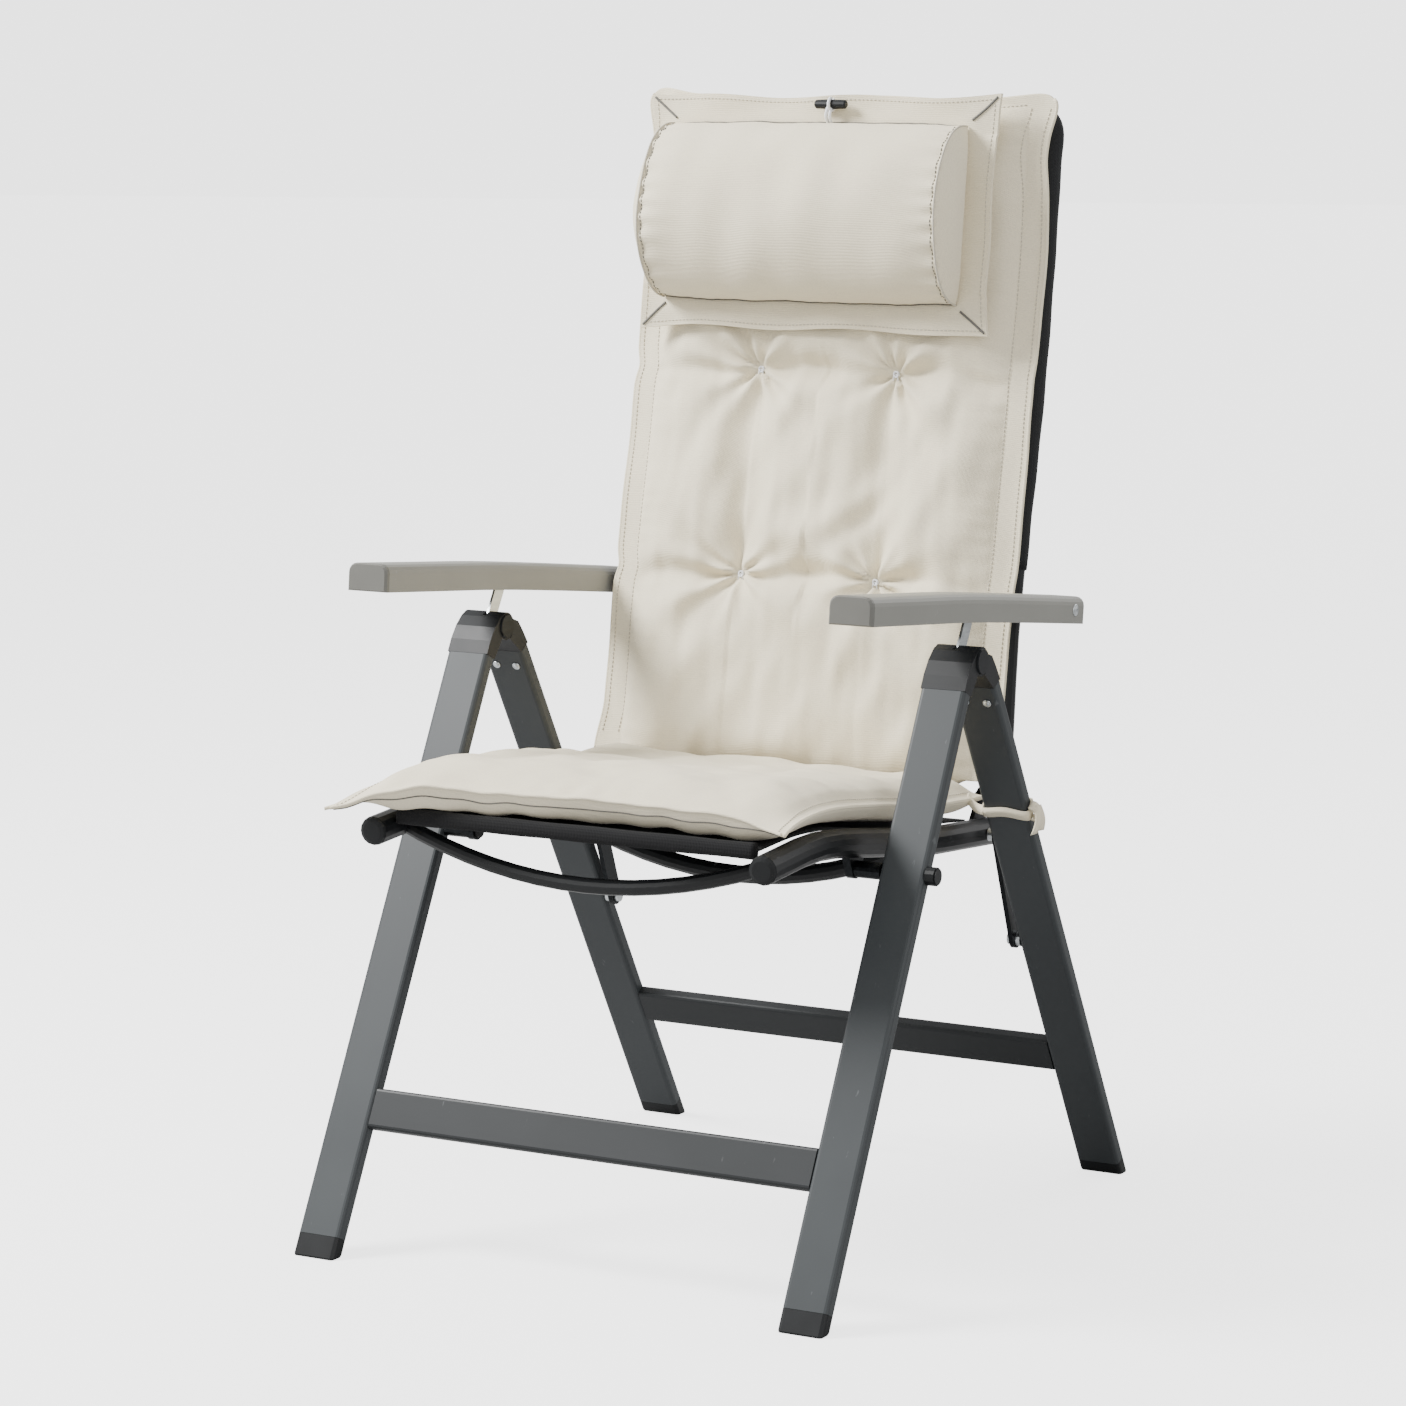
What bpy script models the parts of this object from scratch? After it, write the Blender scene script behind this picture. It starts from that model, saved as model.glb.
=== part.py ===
"""A folding, reclining chair with padded cushions: every piece at rest, in metres, +Z up.

The chair stands on z = 0 and faces -Y. It is symmetric about x = 0, apart from the head pillow, which sits
a little to one side. Left and right are the sitter's, so left is +X.
"""

import math

import bmesh
import bpy
from mathutils import Matrix, Vector

SIDES = (("left", 1), ("right", -1))
GAP = 0.0003  # between pieces that touch
ROUND = 16  # sides of a round piece

# Legs. Every (y, z) below is a place in the side view.
FOOT_Y = 0.3435
FRONT_LEAN = math.radians(27.12)
REAR_LEAN = math.radians(-31.55)
LEG_X = 0.262
LEG_WIDTH, LEG_DEPTH, LEG_CORNER, LEG_WALL = 0.046, 0.016, 0.004, 0.0016
LEG_INNER_X = LEG_X - LEG_WIDTH / 2
LEG_OUTER_X = LEG_X + LEG_WIDTH / 2
FOOT_HEIGHT = 0.019
FRONT_LEG_TOP = 0.6182
REAR_LEG_TOP = 0.6488
CROSSBAR_WIDTH, CROSSBAR_DEPTH = 0.040, 0.014
FRONT_CROSSBAR_UP = 0.1494
REAR_CROSSBAR_UP = 0.1639

# The knuckle that the legs fold about, and the tongue that carries the armrest
KNUCKLE = (-0.0312, 0.578)
PIN_RADIUS, PIN_HOLE = 0.0030, 0.0034
KNUCKLE_DRILL_X = (0.22, 0.30)
CHEEK_RADIUS, LUG_RADIUS, LUG_HALF = 0.0140, 0.0100, 0.0115
CHEEK_CLEARANCE, LUG_CLEARANCE = 0.0146, 0.0107
PIN_HEAD_RADIUS, PIN_HEAD = 0.0125, 0.0016
TONGUE_X, TONGUE_THICK, TONGUE_WIDTH = 0.2600, 0.0025, 0.016
TONGUE_SLOT = 0.0034
TONGUE_LENGTH, TONGUE_TILT = 0.040, math.radians(60)

# Seat
RAIL_X, RAIL_RADIUS, RAIL_WALL = 0.2075, 0.014, 0.0015
SEAT_RAIL = ((-0.3252, 0.416), (-0.2212, 0.422), (-0.1142, 0.410), (0.0, 0.3935), (0.0900, 0.3862),
             (0.1758, 0.380))
RAIL_INNER_X = RAIL_X - RAIL_RADIUS
FRONT_BRACE = {"radius": 0.0075, "middle": (-0.2848, 0.3765), "end": (-0.2787, 0.4180)}
REAR_BRACE = {"radius": 0.0090, "middle": (0.0173, 0.3405), "end": (0.0173, 0.3918)}
SEAT_PIVOT = (-0.1440, 0.390)
SEAT_SHAFT, SEAT_SHAFT_HOLE = 0.0040, 0.0044
BRACKET_X = (0.2035, 0.2115)
BACK_PIVOT = (0.1798, 0.410)
HINGE_PLATE_X = (0.1880, 0.1928)
SLING_THICK = 0.0025
SEAT_SLING = ((-0.3080, 0.4295), (-0.2212, 0.4335), (-0.1142, 0.4215), (0.0, 0.4050), (0.0900, 0.3977),
              (0.1360, 0.3942))
SEAT_PAD = ((-0.3500, 0.4500), (-0.3100, 0.4560), (-0.2212, 0.4570), (-0.1142, 0.4460), (0.0, 0.4300),
            (0.0700, 0.4252), (0.1060, 0.4234))
SEAT_PAD_WIDTH, SEAT_PAD_THICK = 0.450, 0.036

# Links between the seat and the rear legs
LINK_FOOT = (0.1766, 0.2715)
LINK_HEAD = (0.1308, 0.3833)
LINK_X, LINK_WIDTH = (0.2285, 0.2335), 0.0195
LINK_SHAFT, LINK_HOLE = 0.0035, 0.0039

# Back
BACK_X, BACK_RADIUS = 0.208, 0.0125
BACK_RAIL = ((0.1785, 0.4025), (0.1864, 0.4845), (0.1945, 0.5743), (0.2133, 0.6760), (0.2358, 0.7770),
             (0.2523, 0.8690), (0.2663, 0.9710), (0.2728, 1.0350))
BACK_TOP = (0.2790, 1.0860)
TOP_BEND = 0.046
BACK_SLING = ((0.1853, 0.4450), (0.1945, 0.5743), (0.2133, 0.6760), (0.2358, 0.7770), (0.2523, 0.8690),
              (0.2663, 0.9710), (0.2735, 1.0430))
BACK_PAD = ((0.1330, 0.4200), (0.1410, 0.4700), (0.1500, 0.5200), (0.1580, 0.5743), (0.1765, 0.6760),
            (0.1990, 0.7770), (0.2160, 0.8690), (0.2300, 0.9710), (0.2370, 1.0450), (0.2420, 1.1080))
BACK_PAD_WIDTH, BACK_PAD_THICK = 0.440, 0.042
PILLOW_MIDDLE = (-0.0120, 0.2030, 0.9890)
PILLOW_TILT = math.radians(-6.5)
PILLOW_WIDTH, PILLOW_HEIGHT, PILLOW_FLANGE = 0.386, 0.235, 0.008
BOLSTER_WIDTH, BOLSTER_HEIGHT, BOLSTER_DEPTH = 0.326, 0.180, 0.072
TOGGLE_MIDDLE = (0.0020, 0.2000, 1.0985)

# Armrests
ARM_PIVOT = (0.1988, 0.6035)
ARM_X, ARM_WIDTH, ARM_HEIGHT, ARM_WALL, ARM_CORNER = 0.258, 0.044, 0.027, 0.003, 0.009
ARM = ((-0.2522, 0.6469), (-0.1502, 0.6385), (-0.0492, 0.6301), (0.0678, 0.6180), (0.2198, 0.6012))
ARM_CAP_LENGTH = 0.006
RACK_X, RACK_HEIGHT, RACK_TEETH = (0.2540, 0.2660), 0.0042, 10
BUSH_RADIUS = 0.0080


def clear_scene():
    for obj in list(bpy.data.objects):
        bpy.data.objects.remove(obj, do_unlink=True)


def material(name, colour, roughness, metallic=0.0):
    made = bpy.data.materials.new(name)
    made.use_nodes = True
    shader = made.node_tree.nodes["Principled BSDF"]
    shader.inputs["Base Color"].default_value = (*colour, 1)
    shader.inputs["Roughness"].default_value = roughness
    shader.inputs["Metallic"].default_value = metallic
    made.diffuse_color = (*colour, 1)
    return made


# Shapes


def rounded_rectangle(width, height, radius, steps=3):
    """Points round a rectangle whose middle is the origin, counterclockwise."""
    points = []
    for across, up, start in ((1, 1, 0), (-1, 1, 90), (-1, -1, 180), (1, -1, 270)):
        for step in range(steps + 1):
            angle = math.radians(start + 90 * step / steps)
            points.append((
                across * (width / 2 - radius) + radius * math.cos(angle),
                up * (height / 2 - radius) + radius * math.sin(angle),
            ))
    return points


def on_arc(middle, radius, degrees):
    """The (y, z) at this radius and angle from the middle. The angle is 0 towards +Y and 90 towards +Z."""
    angle = math.radians(degrees)
    return (middle[0] + radius * math.cos(angle), middle[1] + radius * math.sin(angle))


def arc(middle, radius, start, end, steps):
    """Points of an arc in the side view, from one angle in degrees to another, both included."""
    return [on_arc(middle, radius, start + (end - start) * step / steps) for step in range(steps + 1)]


def smooth(points, steps):
    """A Catmull-Rom curve through the points, with this many steps in each span."""
    path = [Vector(point) for point in points]
    path = [2 * path[0] - path[1], *path, 2 * path[-1] - path[-2]]
    made = []
    for a, b, c, d in zip(path, path[1:], path[2:], path[3:]):
        for step in range(steps):
            t = step / steps
            bend = (2 * a - 5 * b + 4 * c - d) * t**2 + (3 * b - a - 3 * c + d) * t**3
            made.append(0.5 * (2 * b + (c - a) * t + bend))
    return [*made, path[-2]]


def side_path(points, steps, x=0.0):
    """A smooth curve through (y, z) places, at this x."""
    return [Vector((x, *point)) for point in smooth(points, steps)]


def rings_along(path, side, section):
    """The section at each place of a flat path. Its first axis is side, square to the path's plane."""
    rings = []
    for index, place in enumerate(path):
        ahead = path[min(index + 1, len(path) - 1)]
        behind = path[max(index - 1, 0)]
        up = side.cross((ahead - behind).normalized())
        rings.append([place + side * a + up * b for a, b in section])
    return rings


def circle(radius, sides=ROUND):
    turns = [math.tau * i / sides for i in range(sides)]
    return [(radius * math.cos(turn), radius * math.sin(turn)) for turn in turns]


def solid(name, rings, look, body, wrap=False, bevel=0.0, bevel_steps=1):
    """A solid through rings of equally many points. wrap joins the last ring to the first, for a bore."""
    mesh = bmesh.new()
    rows = [[mesh.verts.new(point) for point in ring] for ring in rings]
    pairs = list(zip(rows, rows[1:]))
    if wrap:
        pairs.append((rows[-1], rows[0]))
    else:
        mesh.faces.new(rows[0])
        mesh.faces.new(rows[-1])
    for low, high in pairs:
        for i in range(len(low)):
            j = (i + 1) % len(low)
            mesh.faces.new((low[i], low[j], high[j], high[i]))
    bmesh.ops.recalc_face_normals(mesh, faces=mesh.faces)
    data = bpy.data.meshes.new(name)
    mesh.to_mesh(data)
    mesh.free()
    data.shade_smooth()
    data.set_sharp_from_angle(angle=math.radians(40))
    if look:
        data.materials.append(look)
    obj = bpy.data.objects.new(name, data)
    bpy.context.scene.collection.objects.link(obj)
    if body:
        obj.parent = body
        obj.matrix_parent_inverse = Matrix.Translation(-Vector(body["axis_at"]))
    if bevel:
        rounding = obj.modifiers.new("rounding", "BEVEL")
        rounding.width = bevel
        rounding.segments = bevel_steps
        rounding.limit_method = "ANGLE"
        rounding.angle_limit = math.radians(50)
    return obj


def extruded(name, outline, x_low, x_high, look, body, bevel=0.0, bevel_steps=1):
    """A side view outline of (y, z) points, extruded from one x to another."""
    rings = [[Vector((x, *point)) for point in outline] for x in (x_low, x_high)]
    return solid(name, rings, look, body, bevel=bevel, bevel_steps=bevel_steps)


def turned(name, profile, at, look, body, sides=ROUND):
    """A piece turned about a line along x through (y, z), from a profile of (x, radius) points."""
    rings = [[Vector((x, at[0] + a, at[1] + b)) for a, b in circle(radius, sides)] for x, radius in profile]
    return solid(name, rings, look, body)


def cutter(obj):
    obj.hide_render = True
    obj.display_type = "WIRE"
    return obj


def combine(obj, tool, operation="DIFFERENCE"):
    change = obj.modifiers.new(operation.lower(), "BOOLEAN")
    change.operation = operation
    change.object = cutter(tool)
    change.solver = "EXACT"


def drill(obj, at, radius, x_low, x_high):
    """A round hole along x through (y, z)."""
    profile = ((min(x_low, x_high), radius), (max(x_low, x_high), radius))
    combine(obj, turned(obj.name + "_drill", profile, at, None, None))


def axis_empty(name, at, parent=None):
    """An empty on a joint's axis. The pieces of one body are its children."""
    empty = bpy.data.objects.new(name, None)
    empty["axis_at"] = at
    empty.location = at
    if parent:
        empty.parent = parent
        empty.matrix_parent_inverse = Matrix.Translation(-Vector(parent["axis_at"]))
    bpy.context.scene.collection.objects.link(empty)
    return empty


# Legs


def up_leg(foot_y, lean, distance, rearwards=0.0):
    """The (y, z) this far up a leg's middle line from the floor, and this far towards the rear of it."""
    return (
        foot_y + distance * math.sin(lean) + rearwards * math.cos(lean),
        distance * math.cos(lean) - rearwards * math.sin(lean),
    )


def leg_ring(foot_y, lean, side, distance, section):
    ring = []
    for a, b in section:
        ring.append(Vector((side * LEG_X + a, *up_leg(foot_y, lean, distance, b))))
    return ring


def leg_section(inset=0.0):
    return rounded_rectangle(LEG_WIDTH - 2 * inset, LEG_DEPTH - 2 * inset, max(LEG_CORNER - inset, 0.001))


def leg(name, foot_y, lean, side, top, look, body):
    """A flat tube, open at both ends."""
    low, high = FOOT_HEIGHT + GAP, top
    outer, inner = leg_section(), leg_section(LEG_WALL)
    rings = [
        leg_ring(foot_y, lean, side, low, outer),
        leg_ring(foot_y, lean, side, high, outer),
        leg_ring(foot_y, lean, side, high, inner),
        leg_ring(foot_y, lean, side, low, inner),
    ]
    return solid(name, rings, look, body, wrap=True)


def foot(name, foot_y, lean, side, look, body):
    """A cap with a flat bottom on the floor and a plug inside the leg."""
    outer, plug = leg_section(), leg_section(LEG_WALL + GAP)
    bottom = []
    for a, b in leg_section(0.0008):
        # The ring slides down the leg until it meets the floor.
        distance = b * math.sin(lean) / math.cos(lean)
        bottom.append(Vector((side * LEG_X + a, *up_leg(foot_y, lean, distance, b))))
    above = []
    for a, b in outer:
        distance = 0.002 + b * math.sin(lean) / math.cos(lean)
        above.append(Vector((side * LEG_X + a, *up_leg(foot_y, lean, distance, b))))
    rings = [
        bottom,
        above,
        leg_ring(foot_y, lean, side, FOOT_HEIGHT, outer),
        leg_ring(foot_y, lean, side, FOOT_HEIGHT, plug),
        leg_ring(foot_y, lean, side, FOOT_HEIGHT + 0.012, plug),
    ]
    return solid(name, rings, look, body)


def crossbar(name, foot_y, lean, distance, look, body):
    """A flat tube between the inner faces of two legs."""
    sections = (
        rounded_rectangle(CROSSBAR_DEPTH, CROSSBAR_WIDTH, 0.0035),
        rounded_rectangle(CROSSBAR_DEPTH - 2 * LEG_WALL, CROSSBAR_WIDTH - 2 * LEG_WALL, 0.0019),
    )
    end = LEG_INNER_X - GAP
    rings = []
    for x, section in ((-end, sections[0]), (end, sections[0]), (end, sections[1]), (-end, sections[1])):
        rings.append([Vector((x, *up_leg(foot_y, lean, distance + b, a))) for a, b in section])
    return solid(name, rings, look, body, wrap=True)


def knuckle_place(y, z):
    """A (y, z) given from the knuckle's axis."""
    return (KNUCKLE[0] + y, KNUCKLE[1] + z)


def knuckle_plug(obj, foot_y, lean, side, top):
    """The part of a knuckle that sits inside the leg."""
    plug = leg_section(LEG_WALL + GAP)
    rings = [leg_ring(foot_y, lean, side, top + at, plug) for at in (-0.014, 0.004)]
    combine(obj, solid(obj.name + "_plug", rings, None, None), "UNION")


def front_knuckle(name, side, look, body):
    """Two cheeks that hold the rear knuckle's lug between them, joined by a roof in front of it."""
    half = LEG_DEPTH / 2
    start = FRONT_LEG_TOP + GAP
    outline = [
        up_leg(-FOOT_Y, FRONT_LEAN, start, half),
        up_leg(-FOOT_Y, FRONT_LEAN, start, -half),
        knuckle_place(-0.0310, -0.0115),
        knuckle_place(-0.0215, 0.0010),
        knuckle_place(-0.0110, 0.0098),
        *arc(KNUCKLE, CHEEK_RADIUS, 98, -124, 12),
    ]
    low, high = side * LEG_X - LEG_WIDTH / 2, side * LEG_X + LEG_WIDTH / 2
    obj = extruded(name, outline, low, high, look, body)
    room = [
        *arc(KNUCKLE, LUG_CLEARANCE, 54, 206, 8),
        on_arc(KNUCKLE, 0.0180, 218),
        on_arc(KNUCKLE, 0.0300, 230),
        *arc(KNUCKLE, 0.0440, 240, 406, 6),
    ]
    reach = LUG_HALF + 0.0005
    combine(obj, extruded(name + "_room", room, side * LEG_X - reach, side * LEG_X + reach, None, None))
    slot = [*arc(KNUCKLE, 0.030, 0, 128, 6), *arc(KNUCKLE, 0.009, 128, 0, 4)]
    low, high = side * TONGUE_X - TONGUE_SLOT / 2, side * TONGUE_X + TONGUE_SLOT / 2
    combine(obj, extruded(name + "_slot", slot, low, high, None, None))
    knuckle_plug(obj, -FOOT_Y, FRONT_LEAN, side, FRONT_LEG_TOP)
    drill(obj, KNUCKLE, PIN_HOLE, *(side * x for x in KNUCKLE_DRILL_X))
    return obj


def rear_knuckle(name, side, look, body):
    """The rear leg's cap, which narrows to a lug. A slot through the lug takes the tongue."""
    half = LEG_DEPTH / 2
    start = REAR_LEG_TOP + GAP
    outline = [
        up_leg(FOOT_Y, REAR_LEAN, start, half),
        knuckle_place(0.0323, -0.0080),
        knuckle_place(0.0230, 0.0030),
        *arc(KNUCKLE, LUG_RADIUS, 60, 280, 10),
        up_leg(FOOT_Y, REAR_LEAN, start, -half),
    ]
    low, high = side * LEG_X - LEG_WIDTH / 2, side * LEG_X + LEG_WIDTH / 2
    obj = extruded(name, outline, low, high, look, body)
    for sign in (-1, 1):
        near = side * LEG_X + sign * LUG_HALF
        far = near + sign * 0.020
        profile = ((min(near, far), CHEEK_CLEARANCE), (max(near, far), CHEEK_CLEARANCE))
        combine(obj, turned(f"{name}_cheek_{sign}", profile, KNUCKLE, None, None, 24))
    slot = [*arc(KNUCKLE, 0.030, -3, 165, 8), *arc(KNUCKLE, 0.0087, 185, 300, 5)]
    low, high = side * TONGUE_X - TONGUE_SLOT / 2, side * TONGUE_X + TONGUE_SLOT / 2
    combine(obj, extruded(name + "_slot", slot, low, high, None, None))
    knuckle_plug(obj, FOOT_Y, REAR_LEAN, side, REAR_LEG_TOP)
    drill(obj, KNUCKLE, PIN_HOLE, *(side * x for x in KNUCKLE_DRILL_X))
    return obj


def knuckle_pin(name, side, look, body):
    inner, outer = LEG_INNER_X - GAP, LEG_OUTER_X + GAP
    profile = (
        (inner - PIN_HEAD, PIN_HEAD_RADIUS - 0.0006),
        (inner, PIN_HEAD_RADIUS),
        (inner, PIN_RADIUS),
        (outer, PIN_RADIUS),
        (outer, PIN_HEAD_RADIUS),
        (outer + PIN_HEAD, PIN_HEAD_RADIUS - 0.0006),
    )
    return turned(name, [(side * x, radius) for x, radius in profile], KNUCKLE, look, body)


def tongue(name, side, look, body):
    """A flat steel lever on the knuckle's pin. Its round end sits in the armrest's channel."""
    half = TONGUE_WIDTH / 2
    tip = knuckle_place(TONGUE_LENGTH * math.cos(TONGUE_TILT), TONGUE_LENGTH * math.sin(TONGUE_TILT))
    turn = math.degrees(TONGUE_TILT)
    outline = [*arc(tip, half, turn - 90, turn + 90, 8), *arc(KNUCKLE, half, turn + 90, turn + 270, 8)]
    middle = side * TONGUE_X
    obj = extruded(name, outline, middle - TONGUE_THICK / 2, middle + TONGUE_THICK / 2, look, body)
    drill(obj, KNUCKLE, PIN_HOLE, middle - 0.01, middle + 0.01)
    return obj


# Seat


def tube(name, path, radius, wall, look, body, sides=ROUND):
    """An open tube along a path in the side view."""
    side = Vector((1, 0, 0))
    outer = rings_along(path, side, circle(radius, sides))
    inner = rings_along(path, side, circle(radius - wall, sides))
    return solid(name, [*outer, *reversed(inner)], look, body, wrap=True)


def seat_rail(name, side, look, body):
    path = side_path(SEAT_RAIL, 3, side * RAIL_X)
    return tube(name, path, RAIL_RADIUS, RAIL_WALL, look, body)


def rail_cap(name, side, look, body):
    """The plug that closes the front end of a seat rail."""
    end = Vector((side * RAIL_X, *SEAT_RAIL[0]))
    inwards = (side_path(SEAT_RAIL, 3, side * RAIL_X)[1] - end).normalized()
    across = Vector((1, 0, 0))
    up = across.cross(inwards)
    rings = []
    for at, radius in ((-0.0042, 0.0095), (-0.0030, 0.0130), (-GAP, 0.0140), (-GAP, 0.0118), (0.010, 0.0118)):
        rings.append([end + inwards * at + across * a - up * b for a, b in circle(radius)])
    return solid(name, rings, look, body)


def brace(name, sizes, look, body):
    """A tube that bows down between the seat rails, cut to the rails' shape at both ends."""
    middle, end = sizes["middle"], sizes["end"]
    path = []
    for step in range(-8, 9):
        share = step / 8
        place = Vector(middle).lerp(Vector(end), share * share)
        path.append(Vector((share * RAIL_X, *place)))
    side = Vector((0, middle[1] - end[1], end[0] - middle[0])).normalized()
    obj = solid(name, rings_along(path, side, circle(sizes["radius"], 12)), look, body)
    for hand, sign in SIDES:
        rail = side_path(SEAT_RAIL, 3, sign * RAIL_X)
        room = rings_along(rail, Vector((1, 0, 0)), circle(RAIL_RADIUS + GAP))
        combine(obj, solid(f"{name}_{hand}_rail", room, None, None))
        beyond = sign * (RAIL_X - 0.002)
        block = [(end[0] - 0.03, end[1] - 0.03), (end[0] + 0.03, end[1] - 0.03),
                 (end[0] + 0.03, end[1] + 0.03), (end[0] - 0.03, end[1] + 0.03)]
        combine(obj, extruded(f"{name}_{hand}_end", block, beyond, beyond + sign * 0.04, None, None))
    return obj


def seat_bracket(name, side, look, body):
    """A plate under the seat rail with a sleeve that turns on the seat's pivot bolt."""
    y, z = SEAT_PIVOT
    outline = [*arc(SEAT_PIVOT, 0.0095, 180, 360, 8), (y + 0.0230, 0.4120), (y - 0.0230, 0.4160)]
    low, high = sorted(side * x for x in BRACKET_X)
    obj = extruded(name, outline, low, high, look, body)
    rail = side_path(SEAT_RAIL, 3, side * RAIL_X)
    room = rings_along(rail, Vector((1, 0, 0)), circle(RAIL_RADIUS + GAP))
    combine(obj, solid(name + "_rail", room, None, None))
    sleeve = ((side * 0.2100, 0.0082), (side * (LEG_INNER_X - GAP), 0.0082))
    combine(obj, turned(name + "_sleeve", sleeve, SEAT_PIVOT, None, None), "UNION")
    drill(obj, (y, z), SEAT_SHAFT_HOLE, side * 0.19, side * 0.25)
    return obj


def bolt(name, side, at, stations, look, body):
    """A bolt along x. Each station is a length of one radius: (from x, to x, radius)."""
    profile = []
    for low, high, radius in stations:
        profile.append((side * low, radius))
        profile.append((side * high, radius))
    return turned(name, profile, at, look, body)


def seat_pivot_bolt(name, side, look, body):
    knob = LEG_OUTER_X + GAP
    stations = (
        (BRACKET_X[0] - 0.0032, BRACKET_X[0] - GAP, 0.0070),
        (BRACKET_X[0] - GAP, knob, SEAT_SHAFT),
        (knob, knob + 0.0092, 0.0090),
        (knob + 0.0092, knob + 0.0107, 0.0078),
    )
    return bolt(name, side, SEAT_PIVOT, stations, look, body)


def hinge_plate(name, side, look, body):
    """A plate on the inner side of a seat rail that carries the back's hinge."""
    rail_end = SEAT_RAIL[-1]
    outline = [*arc(BACK_PIVOT, 0.0115, 0, 180, 8), (rail_end[0] - 0.0330, rail_end[1] - 0.0040),
               (rail_end[0] - 0.0250, rail_end[1] - 0.0105), (rail_end[0] - 0.0020, rail_end[1] - 0.0105),
               (rail_end[0] + 0.0050, rail_end[1] - 0.0030)]
    low, high = sorted(side * x for x in HINGE_PLATE_X)
    obj = extruded(name, outline, low, high, look, body)
    drill(obj, BACK_PIVOT, LINK_HOLE, side * 0.18, side * 0.20)
    return obj


def hinge_bolt(name, side, look, body):
    plate, rail = HINGE_PLATE_X[0], BACK_X + BACK_RADIUS
    stations = (
        (plate - 0.0040, plate - 0.0010, 0.0062),
        (plate - 0.0010, plate - GAP, 0.0080),
        (plate - GAP, rail + GAP, LINK_SHAFT),
        (rail + GAP, rail + 0.0042, 0.0062),
    )
    return bolt(name, side, BACK_PIVOT, stations, look, body)


def sheet_between(name, points, half_width, look, body):
    """A cloth panel along a side view curve."""
    section = rounded_rectangle(2 * half_width, SLING_THICK, SLING_THICK * 0.4, 1)
    return solid(name, rings_along(side_path(points, 2), Vector((1, 0, 0)), section), look, body)


def cushion(name, points, width, thick, look, body):
    """A plain pad of one thickness along a side view curve, with round edges."""
    path = side_path(points, 2)
    side = Vector((1, 0, 0))
    rings = []
    last = len(path) - 1
    full = rings_along(path, side, rounded_rectangle(width, thick, thick * 0.42))
    small = rings_along(path, side, rounded_rectangle(width - 0.020, thick * 0.5, thick * 0.20))
    for index in range(last + 1):
        rings.append(small[index] if index in (0, last) else full[index])
    return solid(name, rings, look, body)


# Links


def link(name, side, look, body):
    half = LINK_WIDTH / 2
    run = Vector(LINK_HEAD) - Vector(LINK_FOOT)
    turn = math.degrees(math.atan2(run.y, run.x))
    outline = arc(LINK_FOOT, half, turn + 90, turn + 270, 8) + arc(LINK_HEAD, half, turn - 90, turn + 90, 8)
    low, high = sorted(side * x for x in LINK_X)
    obj = extruded(name, outline, low, high, look, body)
    for at in (LINK_FOOT, LINK_HEAD):
        drill(obj, at, LINK_HOLE, side * 0.21, side * 0.25)
    return obj


def link_foot_bolt(name, side, look, body):
    stations = (
        (LINK_X[0] - 0.0040, LINK_X[0] - GAP, 0.0065),
        (LINK_X[0] - GAP, LINK_X[1] + GAP, LINK_SHAFT),
        (LINK_X[1] + GAP, LEG_INNER_X - GAP, 0.0075),
        (LEG_INNER_X - GAP, LEG_INNER_X + 0.0060, LINK_SHAFT),
    )
    return bolt(name, side, LINK_FOOT, stations, look, body)


def link_head_bolt(name, side, look, body):
    rail = RAIL_X + RAIL_RADIUS
    stations = (
        (rail + 0.0006, LINK_X[0] - GAP, 0.0070),
        (LINK_X[0] - GAP, LINK_X[1] + GAP, LINK_SHAFT),
        (LINK_X[1] + GAP, LINK_X[1] + 0.0040, 0.0065),
    )
    return bolt(name, side, LINK_HEAD, stations, look, body)


# Back


def back_rail(name, side, look, body):
    """An open tube. The armrest's bolt and the hinge bolt go through it."""
    path = side_path(BACK_RAIL, 2, side * BACK_X)
    obj = tube(name, path, BACK_RADIUS, RAIL_WALL, look, body)
    drill(obj, BACK_PIVOT, LINK_HOLE, side * 0.18, side * 0.24)
    drill(obj, ARM_PIVOT, LINK_HOLE, side * BACK_X, side * 0.24)
    return obj


def back_top_rail(name, look, body):
    """The tube across the top, with a bend down to each back rail."""
    foot_at, top = Vector(BACK_RAIL[-1]), Vector(BACK_TOP)
    climb = (top - foot_at).normalized()
    start = foot_at + climb * 3 * GAP
    height = (top - start).length
    path = [Vector((BACK_X, *start))]
    for step in range(9):
        angle = math.radians(90 * step / 8)
        across = BACK_X - TOP_BEND * (1 - math.cos(angle))
        up = height - TOP_BEND * (1 - math.sin(angle))
        path.append(Vector((across, *(start + climb * up))))
    path += [Vector((-place.x, place.y, place.z)) for place in reversed(path)]
    side = Vector((0, climb.y, -climb.x))
    outer = rings_along(path, side, circle(BACK_RADIUS))
    inner = rings_along(path, side, circle(BACK_RADIUS - RAIL_WALL))
    return solid(name, [*outer, *reversed(inner)], look, body, wrap=True)


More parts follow.
